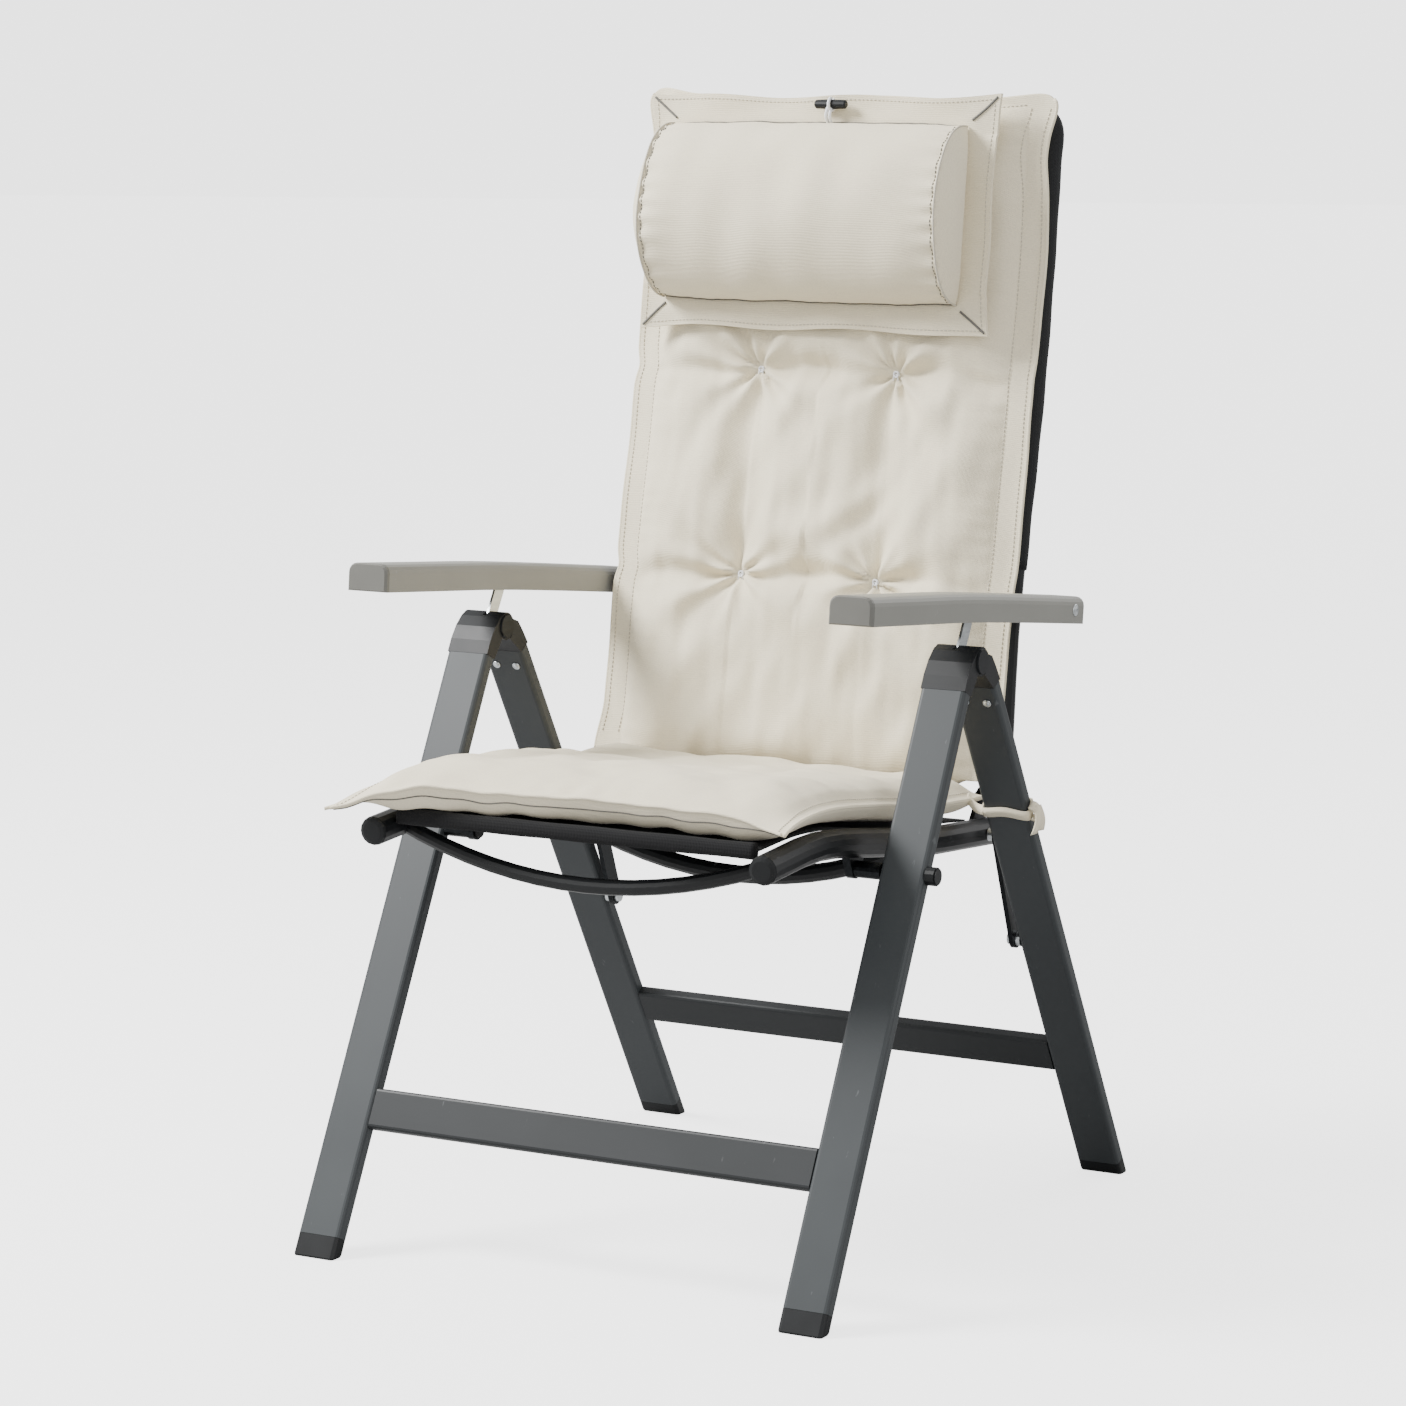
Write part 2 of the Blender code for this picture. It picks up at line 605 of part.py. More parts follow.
def head_pillow(name, look, body):
    """A flat stitched flange with a half round bolster on its front, tilted to lie on the back cushion."""
    turn = Matrix.Translation(Vector(PILLOW_MIDDLE)) @ Matrix.Rotation(PILLOW_TILT, 4, "X")
    flange = rounded_rectangle(PILLOW_WIDTH, PILLOW_HEIGHT, 0.010, 2)
    rings = [[turn @ Vector((a, y, b)) for a, b in flange] for y in (0.0, -PILLOW_FLANGE)]
    obj = solid(name, rings, look, body)
    profile = [(-0.0040, -BOLSTER_HEIGHT / 2)]
    for step in range(13):
        angle = math.radians(-90 + 15 * step)
        profile.append((-0.006 - BOLSTER_DEPTH * math.cos(angle), BOLSTER_HEIGHT / 2 * math.sin(angle)))
    profile.append((-0.0040, BOLSTER_HEIGHT / 2))
    half = BOLSTER_WIDTH / 2
    rings = [[turn @ Vector((x, *point)) for point in profile] for x in (-half, half)]
    combine(obj, solid(name + "_bolster", rings, None, None), "UNION")
    return obj


def pillow_toggle(name, look, body):
    """The small bar that buttons the pillow to its elastic loop."""
    x, y, z = TOGGLE_MIDDLE
    profile = ((-0.0175, 0.0030), (-0.0160, 0.0045), (-0.0040, 0.0048), (0.0040, 0.0048), (0.0160, 0.0045),
               (0.0175, 0.0030))
    return turned(name, [(x + at, radius) for at, radius in profile], (y, z), look, body, 12)


# Armrests


def arm_section(inset=0.0):
    """The armrest's channel, open below: an outline of (across, up) points."""
    half, corner = ARM_WIDTH / 2 - inset, ARM_CORNER - inset
    top, bottom = ARM_HEIGHT / 2 - inset, -ARM_HEIGHT / 2
    points = []
    for across, start in ((1, 0), (-1, 90)):
        for step in range(5):
            angle = math.radians(start + 22.5 * step)
            points.append((
                across * (half - corner) + corner * math.cos(angle),
                top - corner + corner * math.sin(angle),
            ))
    return [(half, bottom), *points, (-half, bottom)]


def armrest(name, side, look, body):
    section = [*arm_section(), *reversed(arm_section(ARM_WALL))]
    path = side_path(ARM, 3, side * ARM_X)
    obj = solid(name, rings_along(path, Vector((1, 0, 0)), section), look, body)
    drill(obj, ARM_PIVOT, LINK_HOLE, side * 0.225, side * 0.245)
    return obj


def arm_frame():
    """The front end of the armrest in the side view, and the way out from it."""
    path = smooth(ARM, 3)
    return path[0], (path[0] - path[1]).normalized()


def armrest_cap(name, side, look, body):
    """The moulded cap on the armrest's front end, with a block inside the channel."""
    end, out = arm_frame()
    up = Vector((out.y, -out.x))
    section = arm_section()
    block = [(a * 0.84, b) for a, b in arm_section(ARM_WALL + GAP)]
    rings = []
    for at, shape, scale in ((-0.012, block, 1), (GAP, block, 1), (GAP, section, 1), (0.0035, section, 1),
                             (ARM_CAP_LENGTH, section, 0.90)):
        ring = []
        for a, b in shape:
            place = end + out * at + up * (b * scale)
            ring.append(Vector((side * ARM_X + a * scale, *place)))
        rings.append(ring)
    return solid(name, rings, look, body)


def armrest_rack(name, side, look, body):
    """The notched strip under the armrest's top wall."""
    path = smooth(ARM, 8)
    roof = ARM_HEIGHT / 2 - ARM_WALL - GAP
    start = len(path) // 6
    top, bottom = [], []
    for index in range(start, start + 2 * RACK_TEETH):
        ahead = (path[index + 1] - path[index - 1]).normalized()
        up = Vector((-ahead.y, ahead.x))
        depth = RACK_HEIGHT if index % 2 else RACK_HEIGHT * 0.45
        top.append(path[index] + up * roof)
        bottom.append(path[index] + up * (roof - depth))
    outline = [*top, *reversed(bottom)]
    low, high = sorted(side * x for x in RACK_X)
    return extruded(name, outline, low, high, look, body)


def armrest_bolt(name, side, look, body):
    wall = ARM_X - ARM_WIDTH / 2 + ARM_WALL
    stations = (
        (BACK_X - 0.0060, BACK_X - 0.0020, 0.0060),
        (BACK_X - 0.0020, wall + GAP, LINK_SHAFT),
        (wall + GAP, wall + 0.0050, 0.0052),
    )
    return bolt(name, side, ARM_PIVOT, stations, look, body)


def armrest_bush(name, side, look, body):
    """The spacer between the back rail and the armrest. The bolt goes through it."""
    low, high = BACK_X + BACK_RADIUS + GAP, ARM_X - ARM_WIDTH / 2 - GAP
    profile = ((low, BUSH_RADIUS), (high, BUSH_RADIUS), (high, LINK_HOLE), (low, LINK_HOLE))
    rings = []
    for x, radius in profile:
        rings.append([Vector((side * x, ARM_PIVOT[0] + a, ARM_PIVOT[1] + b)) for a, b in circle(radius)])
    return solid(name, rings, look, body, wrap=True)


def build():
    clear_scene()
    frame = material("frame_paint", (0.088, 0.100, 0.104), 0.36, 0.55)
    tube_paint = material("tube_paint", (0.030, 0.033, 0.036), 0.34, 0.45)
    plastic = material("black_plastic", (0.022, 0.024, 0.026), 0.48)
    arm_paint = material("armrest_paint", (0.36, 0.365, 0.345), 0.42)
    steel = material("bolt_steel", (0.50, 0.52, 0.53), 0.30, 1.0)
    dark_steel = material("dark_steel", (0.030, 0.032, 0.034), 0.40, 0.8)
    mesh_cloth = material("sling_cloth", (0.012, 0.012, 0.012), 0.80)
    cream = material("cushion_cloth", (0.74, 0.71, 0.64), 0.90)

    front = axis_empty("front_frame_body", (0.0, 0.0, 0.0))
    rear = axis_empty("rear_frame_axis", (0.0, *KNUCKLE))
    tongues = axis_empty("tongue_axis", (0.0, *KNUCKLE))
    links = axis_empty("link_axis", (0.0, *LINK_FOOT), rear)
    seat = axis_empty("seat_axis", (0.0, *SEAT_PIVOT))
    hinge = axis_empty("back_hinge_axis", (0.0, *BACK_PIVOT), seat)
    back = axis_empty("recline_axis", (0.0, *BACK_PIVOT), hinge)
    arm_bolts = axis_empty("armrest_bolt_axis", (0.0, *ARM_PIVOT), back)
    bushes = axis_empty("armrest_bush_axis", (0.0, *ARM_PIVOT), arm_bolts)

    crossbar("front_crossbar", -FOOT_Y, FRONT_LEAN, FRONT_CROSSBAR_UP, frame, front)
    crossbar("rear_crossbar", FOOT_Y, REAR_LEAN, REAR_CROSSBAR_UP, frame, rear)
    brace("front_seat_brace", FRONT_BRACE, tube_paint, seat)
    brace("rear_seat_brace", REAR_BRACE, tube_paint, seat)
    sheet_between("seat_sling", SEAT_SLING, RAIL_INNER_X - 0.0010, mesh_cloth, seat)
    cushion("seat_cushion", SEAT_PAD, SEAT_PAD_WIDTH, SEAT_PAD_THICK, cream, seat)
    back_top_rail("back_top_rail", tube_paint, back)
    sheet_between("back_sling", BACK_SLING, BACK_X - BACK_RADIUS - 0.0010, mesh_cloth, back)
    cushion("back_cushion", BACK_PAD, BACK_PAD_WIDTH, BACK_PAD_THICK, cream, back)
    head_pillow("head_pillow", cream, back)
    pillow_toggle("pillow_toggle", plastic, back)

    for hand, side in SIDES:
        leg("front_leg_" + hand, -FOOT_Y, FRONT_LEAN, side, FRONT_LEG_TOP, frame, front)
        foot("front_foot_" + hand, -FOOT_Y, FRONT_LEAN, side, plastic, front)
        front_knuckle("front_knuckle_" + hand, side, plastic, front)
        knuckle_pin("knuckle_pin_" + hand, side, dark_steel, front)
        seat_pivot_bolt("seat_pivot_bolt_" + hand, side, plastic, front)
        leg("rear_leg_" + hand, FOOT_Y, REAR_LEAN, side, REAR_LEG_TOP, frame, rear)
        foot("rear_foot_" + hand, FOOT_Y, REAR_LEAN, side, plastic, rear)
        rear_knuckle("rear_knuckle_" + hand, side, plastic, rear)
        link_foot_bolt("link_foot_bolt_" + hand, side, steel, rear)
        tongue("armrest_tongue_" + hand, side, steel, tongues)
        link("folding_link_" + hand, side, dark_steel, links)
        link_head_bolt("link_head_bolt_" + hand, side, steel, links)
        seat_rail("seat_rail_" + hand, side, tube_paint, seat)
        rail_cap("seat_rail_cap_" + hand, side, plastic, seat)
        seat_bracket("seat_bracket_" + hand, side, dark_steel, seat)
        hinge_plate("hinge_plate_" + hand, side, dark_steel, seat)
        hinge_bolt("hinge_bolt_" + hand, side, steel, hinge)
        back_rail("back_rail_" + hand, side, tube_paint, back)
        armrest_bolt("armrest_bolt_" + hand, side, steel, arm_bolts)
        armrest_bush("armrest_bush_" + hand, side, plastic, bushes)
        arm = axis_empty("armrest_axis_" + hand, (0.0, *ARM_PIVOT), bushes)
        armrest("armrest_" + hand, side, arm_paint, arm)
        armrest_cap("armrest_cap_" + hand, side, arm_paint, arm)
        armrest_rack("armrest_rack_" + hand, side, plastic, arm)

    # The front leg's walls and the rear leg's inner wall take the pivot bolts.
    for hand, side in SIDES:
        drill(bpy.data.objects["front_leg_" + hand], SEAT_PIVOT, SEAT_SHAFT_HOLE, side * 0.23, side * 0.29)
        drill(bpy.data.objects["rear_leg_" + hand], LINK_FOOT, LINK_HOLE, side * 0.23, side * 0.25)


build()
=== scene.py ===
"""The looks of the folding chair: cushions, slings, ties, stitching, small fittings and every material.

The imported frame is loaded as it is. Lengths are in metres, in the frame's own axes: +Z up, the sitter
faces -Y, and the sitter's left is +X.
"""

import math

import bmesh
import bpy
import numpy as np
from mathutils import Matrix, Vector


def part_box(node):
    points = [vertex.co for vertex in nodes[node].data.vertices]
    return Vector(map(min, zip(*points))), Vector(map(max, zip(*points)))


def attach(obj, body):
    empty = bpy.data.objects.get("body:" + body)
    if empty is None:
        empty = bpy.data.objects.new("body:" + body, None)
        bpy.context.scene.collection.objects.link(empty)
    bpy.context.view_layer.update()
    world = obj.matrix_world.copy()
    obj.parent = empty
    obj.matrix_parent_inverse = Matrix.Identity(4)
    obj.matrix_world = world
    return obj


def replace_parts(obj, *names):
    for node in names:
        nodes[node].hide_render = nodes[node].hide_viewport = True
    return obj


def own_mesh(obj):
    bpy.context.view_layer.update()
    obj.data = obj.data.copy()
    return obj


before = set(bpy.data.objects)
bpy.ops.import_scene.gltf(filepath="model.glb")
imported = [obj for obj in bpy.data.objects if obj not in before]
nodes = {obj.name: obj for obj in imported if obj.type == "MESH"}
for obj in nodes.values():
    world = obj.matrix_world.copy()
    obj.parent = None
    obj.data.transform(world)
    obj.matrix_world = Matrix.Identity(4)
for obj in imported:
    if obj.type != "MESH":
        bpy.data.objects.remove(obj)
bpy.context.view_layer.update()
SIDES = (("left", 1), ("right", -1))

# Camera and lights. Each light has its name, place, aim, size and power.

CAMERA_AT = (1.9517, -3.6620, 1.0960)
CAMERA_TURN, CAMERA_PITCH, CAMERA_ROLL = 0.4963, -0.1394, 0.0071
CAMERA_LENS, CAMERA_SENSOR = 108.97, 36.0
SKY_LIGHT, SKY_SEEN, FLOOR_GLOW = 1.0, 2.9, 2.6
FLOOR_HALF, FLOOR_DROP = 60, 0.0005
LIGHTS = (
    ("key_light", (-2.3, -1.3, 2.9), (0, 0.1, 0.6), 1.4, 320),
    ("fill_light", (3.2, -2.0, 2.0), (0, 0, 0.5), 2.2, 40),
    ("rim_light", (0.8, 3.0, 2.6), (0, 0, 0.6), 2.0, 30),
)


def make_camera():
    data = bpy.data.cameras.new("camera")
    data.lens = CAMERA_LENS
    data.sensor_width = CAMERA_SENSOR
    data.clip_end = 50
    camera = bpy.data.objects.new("camera", data)
    turn, pitch = CAMERA_TURN, CAMERA_PITCH
    ahead = Vector((-math.sin(turn) * math.cos(pitch), math.cos(turn) * math.cos(pitch), math.sin(pitch)))
    level = Vector((math.cos(turn), math.sin(turn), 0))
    above = level.cross(ahead)
    right = level * math.cos(CAMERA_ROLL) + above * math.sin(CAMERA_ROLL)
    up = above * math.cos(CAMERA_ROLL) - level * math.sin(CAMERA_ROLL)
    camera.matrix_world = Matrix.Translation(CAMERA_AT) @ Matrix((right, up, -ahead)).transposed().to_4x4()
    bpy.context.scene.collection.objects.link(camera)
    bpy.context.scene.camera = camera


def make_light(name, at, aim, size, power):
    data = bpy.data.lights.new(name, "AREA")
    data.shape = "DISK"
    data.size = size
    data.energy = power
    light = bpy.data.objects.new(name, data)
    light.location = at
    light.rotation_euler = (Vector(aim) - Vector(at)).to_track_quat("-Z", "Y").to_euler()
    bpy.context.scene.collection.objects.link(light)


def seen_only(tree, socket, lighting, seen):
    """One strength for lighting the chair, and another for what is seen directly, as a lit backdrop is."""
    path = tree.nodes.new("ShaderNodeLightPath")
    choice = tree.nodes.new("ShaderNodeMapRange")
    choice.inputs["To Min"].default_value = lighting
    choice.inputs["To Max"].default_value = seen
    tree.links.new(path.outputs["Is Camera Ray"], choice.inputs["Value"])
    tree.links.new(choice.outputs["Result"], socket)


def make_studio():
    world = bpy.data.worlds.new("studio")
    bpy.context.scene.world = world
    world.use_nodes = True
    sky = world.node_tree.nodes["Background"]
    sky.inputs["Color"].default_value = (1.0, 1.0, 1.0, 1)
    seen_only(world.node_tree, sky.inputs["Strength"], SKY_LIGHT, SKY_SEEN)
    for light in LIGHTS:
        make_light(*light)
    mesh = bmesh.new()
    bmesh.ops.create_grid(mesh, x_segments=1, y_segments=1, size=FLOOR_HALF)
    data = bpy.data.meshes.new("floor")
    mesh.to_mesh(data)
    mesh.free()
    floor = bpy.data.objects.new("floor", data)
    floor.location = (0, 0, -FLOOR_DROP)
    bpy.context.scene.collection.objects.link(floor)
    made, shader = new_material("floor_paper", (0.42, 0.42, 0.42), 0.9)
    shader.inputs["Specular IOR Level"].default_value = 0.1
    shader.inputs["Emission Color"].default_value = (1, 1, 1, 1)
    seen_only(made.node_tree, shader.inputs["Emission Strength"], 0.0, FLOOR_GLOW)
    data.materials.append(made)


# Materials


def new_material(name, colour, roughness, metallic=0.0):
    made = bpy.data.materials.new(name)
    made.use_nodes = True
    shader = made.node_tree.nodes["Principled BSDF"]
    shader.inputs["Base Color"].default_value = (*colour, 1)
    shader.inputs["Roughness"].default_value = roughness
    shader.inputs["Metallic"].default_value = metallic
    return made, shader


def add(material, kind, **values):
    node = material.node_tree.nodes.new(kind)
    for key, value in values.items():
        setattr(node, key, value)
    return node


def noise(material, scale, detail=2.0, stretch=None):
    """A noise in object space. stretch scales its axes, for threads and drawn metal."""
    links = material.node_tree.links
    place = add(material, "ShaderNodeTexCoord")
    out = place.outputs["Object"]
    if stretch:
        mapping = add(material, "ShaderNodeMapping")
        mapping.inputs["Scale"].default_value = stretch
        links.new(out, mapping.inputs["Vector"])
        out = mapping.outputs["Vector"]
    texture = add(material, "ShaderNodeTexNoise")
    texture.inputs["Scale"].default_value = scale
    texture.inputs["Detail"].default_value = detail
    links.new(out, texture.inputs["Vector"])
    return texture.outputs["Fac"]


def ramp(material, value, stops):
    """A colour ramp. Each stop is (position, colour)."""
    node = add(material, "ShaderNodeValToRGB")
    material.node_tree.links.new(value, node.inputs["Fac"])
    elements = node.color_ramp.elements
    while len(elements) < len(stops):
        elements.new(0.5)
    for element, (position, colour) in zip(elements, stops):
        element.position = position
        element.color = (*colour, 1)
    return node.outputs["Color"]


def mixed(material, blend, factor, first, second):
    node = add(material, "ShaderNodeMix", data_type="RGBA", blend_type=blend)
    node.inputs["Factor"].default_value = factor
    links = material.node_tree.links
    links.new(first, node.inputs[6])
    links.new(second, node.inputs[7])
    return node.outputs[2]


def added(material, first, second, weight):
    """first + weight * second, as plain values."""
    node = add(material, "ShaderNodeMath", operation="MULTIPLY_ADD")
    links = material.node_tree.links
    links.new(second, node.inputs[0])
    node.inputs[1].default_value = weight
    links.new(first, node.inputs[2])
    return node.outputs[0]


def bump(material, shader, height, distance, strength=1.0):
    node = add(material, "ShaderNodeBump")
    node.inputs["Strength"].default_value = strength
    node.inputs["Distance"].default_value = distance
    links = material.node_tree.links
    links.new(height, node.inputs["Height"])
    links.new(node.outputs["Normal"], shader.inputs["Normal"])


def roughness_from(material, shader, value, low, high):
    node = add(material, "ShaderNodeMapRange")
    node.inputs["To Min"].default_value = low
    node.inputs["To Max"].default_value = high
    links = material.node_tree.links
    links.new(value, node.inputs["Value"])
    links.new(node.outputs["Result"], shader.inputs["Roughness"])


def threads(material, pitch):
    """Over-and-under threads: the product of two fine waves, one along x and one along the slope."""
    links = material.node_tree.links
    place = add(material, "ShaderNodeTexCoord")
    waves = []
    for direction in ("X", "DIAGONAL"):
        mapping = add(material, "ShaderNodeMapping")
        if direction == "DIAGONAL":
            mapping.inputs["Scale"].default_value = (0.0, 1.0, 1.0)
        links.new(place.outputs["Object"], mapping.inputs["Vector"])
        wave = add(material, "ShaderNodeTexWave", bands_direction=direction)
        wave.inputs["Scale"].default_value = 0.314 / pitch
        wave.inputs["Distortion"].default_value = 0.6
        wave.inputs["Detail"].default_value = 1.0
        links.new(mapping.outputs["Vector"], wave.inputs["Vector"])
        waves.append(wave.outputs["Fac"])
    node = add(material, "ShaderNodeMath", operation="ADD")
    links.new(waves[0], node.inputs[0])
    links.new(waves[1], node.inputs[1])
    return node.outputs[0]


def cloth_material(name, light, dark, pitch, depth, sheen):
    """Woven cloth: threads, slubs, and slow changes of tone."""
    made, shader = new_material(name, light, 0.92)
    slubs = noise(made, 620, 3.0)
    tone = noise(made, 7, 2.0)
    weave = threads(made, pitch)
    fine = ramp(made, slubs, ((0.34, dark), (0.62, light)))
    shade = tuple(0.5 * (a + b) for a, b in zip(light, dark))
    slow = ramp(made, tone, ((0.35, shade), (0.65, light)))
    colour = mixed(made, "MIX", 0.45, fine, slow)
    made.node_tree.links.new(colour, shader.inputs["Base Color"])
    bump(made, shader, added(made, weave, slubs, 0.8), depth, 0.55)
    roughness_from(made, shader, slubs, 0.86, 0.97)
    shader.inputs["Sheen Weight"].default_value = sheen
    shader.inputs["Sheen Roughness"].default_value = 0.6
    shader.inputs["Specular IOR Level"].default_value = 0.25
    return made


def paint_material(name, light, dark, low, high, metallic):
    """A powder coat: fine orange peel, small changes of gloss and a few rubbed specks."""
    made, shader = new_material(name, light, low, metallic)
    tone = noise(made, 9, 3.0)
    peel = noise(made, 900, 2.0)
    specks = noise(made, 160, 4.0, (1.0, 0.35, 0.35))
    base = ramp(made, tone, ((0.3, dark), (0.7, light)))
    worn = ramp(made, specks, ((0.70, (0, 0, 0)), (0.78, (0.05, 0.052, 0.054))))
    colour = mixed(made, "ADD", 1.0, base, worn)
    made.node_tree.links.new(colour, shader.inputs["Base Color"])
    bump(made, shader, peel, 0.00006, 0.35)
    roughness_from(made, shader, tone, low, high)
    shader.inputs["Specular IOR Level"].default_value = 0.28
    return made


def plastic_material(name, light, dark, low, high):
    """Moulded plastic with a fine spark-eroded grain."""
    made, shader = new_material(name, light, low)
    grain = noise(made, 1400, 2.0)
    tone = noise(made, 22, 3.0)
    colour = ramp(made, tone, ((0.3, dark), (0.72, light)))
    made.node_tree.links.new(colour, shader.inputs["Base Color"])
    bump(made, shader, grain, 0.00008, 0.4)
    roughness_from(made, shader, tone, low, high)
    shader.inputs["Specular IOR Level"].default_value = 0.22
    return made


def metal_material(name, light, dark, low, high):
    """Bare or blackened steel with fine drawn lines."""
    made, shader = new_material(name, light, low, 1.0)
    lines = noise(made, 260, 4.0, (1.0, 0.2, 1.0))
    colour = ramp(made, lines, ((0.3, dark), (0.7, light)))
    made.node_tree.links.new(colour, shader.inputs["Base Color"])
    bump(made, shader, lines, 0.00004, 0.4)
    roughness_from(made, shader, lines, low, high)
    return made


CREAM = cloth_material("cream_cloth", (0.765, 0.692, 0.522), (0.672, 0.606, 0.456), 0.0011, 0.00022, 0.15)
THREAD = cloth_material("seam_thread", (0.56, 0.52, 0.43), (0.44, 0.405, 0.33), 0.0008, 0.00010, 0.0)
# A dark thread for the pillow's seams and stitches, also used as a painted shadow line under the seat's front
# edge cord.
DARK_THREAD_AND_SHADOW = cloth_material("dark_thread_and_painted_shadow", (0.16, 0.155, 0.14), (0.09, 0.085, 0.08), 0.0008, 0.00010, 0.0)
ELASTIC = cloth_material("elastic_cord", (0.80, 0.81, 0.83), (0.66, 0.67, 0.69), 0.0006, 0.00015, 0.1)
SLING = cloth_material("black_mesh_cloth", (0.020, 0.021, 0.022), (0.008, 0.008, 0.009), 0.0016, 0.0003, 0.02)
# The hem's cloth is the sling cloth painted darker, as the shade under the seat cushion's front edge.
SHADED_HEM_CLOTH = cloth_material("black_hem_cloth_painted_shade", (0.008, 0.008, 0.009), (0.004,) * 3, 0.0016, 0.0003, 0.02)
LEG_PAINT = paint_material("leg_paint", (0.039, 0.044, 0.0465), (0.033, 0.037, 0.0395), 0.42, 0.54, 0.0)
# The crossbars carry the legs' powder coat, painted darker as shade: their front faces catch more of the key
# light than the legs do.
SHADED_BAR_PAINT = paint_material("bar_paint_painted_shade", (0.020, 0.022, 0.0235), (0.016, 0.018, 0.019), 0.42, 0.54, 0.0)
TUBE_PAINT = paint_material("tube_paint", (0.009, 0.010, 0.011), (0.006, 0.0065, 0.007), 0.30, 0.42, 0.0)
ARM_PAINT = paint_material("arm_paint", (0.232, 0.230, 0.208), (0.207, 0.205, 0.185), 0.38, 0.50, 0.05)
ARM_CAP = plastic_material("arm_cap_plastic", (0.150, 0.148, 0.134), (0.130, 0.128, 0.116), 0.38, 0.52)
PLASTIC = plastic_material("black_plastic", (0.010, 0.011, 0.012), (0.006, 0.0065, 0.007), 0.36, 0.52)
STEEL = metal_material("zinc_steel", (0.66, 0.69, 0.70), (0.50, 0.53, 0.54), 0.22, 0.38)
DARK_STEEL = metal_material("dark_steel", (0.022, 0.024, 0.026), (0.012, 0.013, 0.014), 0.30, 0.45)

SHARP_ANGLE, KNUCKLE_SHARP_ANGLE = math.radians(34), math.radians(46)
NODE_LOOKS = (
    (LEG_PAINT, ("front_leg", "rear_leg")),
    (SHADED_BAR_PAINT, ("front_crossbar", "rear_crossbar")),
    (TUBE_PAINT, ("seat_rail_left", "seat_rail_right", "back_rail", "back_top_rail", "front_seat_brace",
                  "rear_seat_brace")),
    (ARM_CAP, ("armrest_cap",)),
    (PLASTIC, ("front_foot", "rear_foot", "front_knuckle", "rear_knuckle", "seat_pivot_bolt",
               "seat_rail_cap", "armrest_bush", "armrest_rack", "pillow_toggle")),
    (STEEL, ("armrest_tongue", "link_foot_bolt", "link_head_bolt", "hinge_bolt", "armrest_bolt")),
    (DARK_STEEL, ("knuckle_pin", "folding_link", "seat_bracket", "hinge_plate")),
    (ARM_PAINT, ("armrest_left", "armrest_right")),
)


def dress_nodes():
    """Every carried-over CAD node gets its material."""
    for look, starts in NODE_LOOKS:
        for name, obj in nodes.items():
            if name.startswith(starts):
                obj.data.materials.clear()
                obj.data.materials.append(look)
                obj.data.shade_smooth()
                sharp = KNUCKLE_SHARP_ANGLE if "knuckle" in name else SHARP_ANGLE
                obj.data.set_sharp_from_angle(angle=sharp)


# Shapes


def smooth_line(points, steps):
    """A Catmull-Rom curve through points of any dimension."""
    line = [2 * np.array(points[0]) - np.array(points[1]), *map(np.array, points)]
    line.append(2 * np.array(points[-1]) - np.array(points[-2]))
    found = []
    for a, b, c, d in zip(line, line[1:], line[2:], line[3:]):
        for step in range(steps):
            t = step / steps
            bend = (2 * a - 5 * b + 4 * c - d) * t**2 + (3 * b - a - 3 * c + d) * t**3
            found.append(0.5 * (2 * b + (c - a) * t + bend))
    found.append(line[-2])
    return np.array(found)


class SidePath:
    """A curve in the side view, read by the distance along it. Its points are (y, z)."""

    def __init__(self, points):
        self.line = smooth_line(points, 16)
        steps = np.linalg.norm(np.diff(self.line, axis=0), axis=1)
        self.at = np.concatenate(([0], np.cumsum(steps)))
        self.length = self.at[-1]
        slope = np.gradient(self.line, self.at, axis=0)
        self.slope = slope / np.linalg.norm(slope, axis=1)[:, None]

    def place(self, x, distance, height):
        """Points x across, that distance along and that height off the curve."""
        inside = np.clip(distance, 0, self.length)
        beyond = distance - inside
        y, z, ty, tz = (np.interp(inside, self.at, values) for values in (*self.line.T, *self.slope.T))
        return np.stack([x, y + ty * beyond - tz * height, z + tz * beyond + ty * height], axis=-1)

    def distance_at(self, z):
        """The distance along at that height in the world."""
        return float(np.interp(z, self.line[:, 1], self.at))


def bell(value, width):
    return np.exp(-((value / width) ** 2))


def ease(value):
    value = np.clip(value, 0, 1)
    return value * value * (3 - 2 * value)


def ripple(x, y, size, seed):
    """A smooth made-up unevenness between about -1 and 1, as a fixed sum of waves of about that size."""
    chance = np.random.default_rng(seed)
    total = np.zeros_like(x)
    for _ in range(14):
        turn, phase = chance.uniform(0, 2 * math.pi, 2)
        pitch = 2 * math.pi / (size * chance.uniform(0.7, 1.9))
        total = total + np.sin(pitch * (x * math.cos(turn) + y * math.sin(turn)) + phase)
    return total / 3.7


def grid_faces(rows, columns):
    """The quads of a grid of points that are numbered row by row."""
    starts = [r * columns + c for r in range(rows - 1) for c in range(columns - 1)]
    return [[i, i + 1, i + columns + 1, i + columns] for i in starts]


def ring_faces(rings, count, looped=False):
    """The quads between rings of count points each. looped joins the last ring to the first."""
    faces = []
    for ring in range(rings if looped else rings - 1):
        here, following = ring * count, (ring + 1) % rings * count
        for i in range(count):
            j = (i + 1) % count
            faces.append([here + i, here + j, following + j, following + i])
    return faces


def end_faces(rings, count):
    """The faces that close a run of rings at both ends."""
    return [list(reversed(range(count))), [(rings - 1) * count + i for i in range(count)]]


def mesh_object(name, points, faces, look):
    data = bpy.data.meshes.new(name)
    data.from_pydata([tuple(map(float, p)) for p in points], [], [tuple(map(int, f)) for f in faces])
    data.validate()
    mesh = bmesh.new()
    mesh.from_mesh(data)
    bmesh.ops.recalc_face_normals(mesh, faces=mesh.faces)
    mesh.to_mesh(data)
    mesh.free()
    data.materials.append(look)
    data.shade_smooth()
    obj = bpy.data.objects.new(name, data)
    bpy.context.scene.collection.objects.link(obj)
    return obj


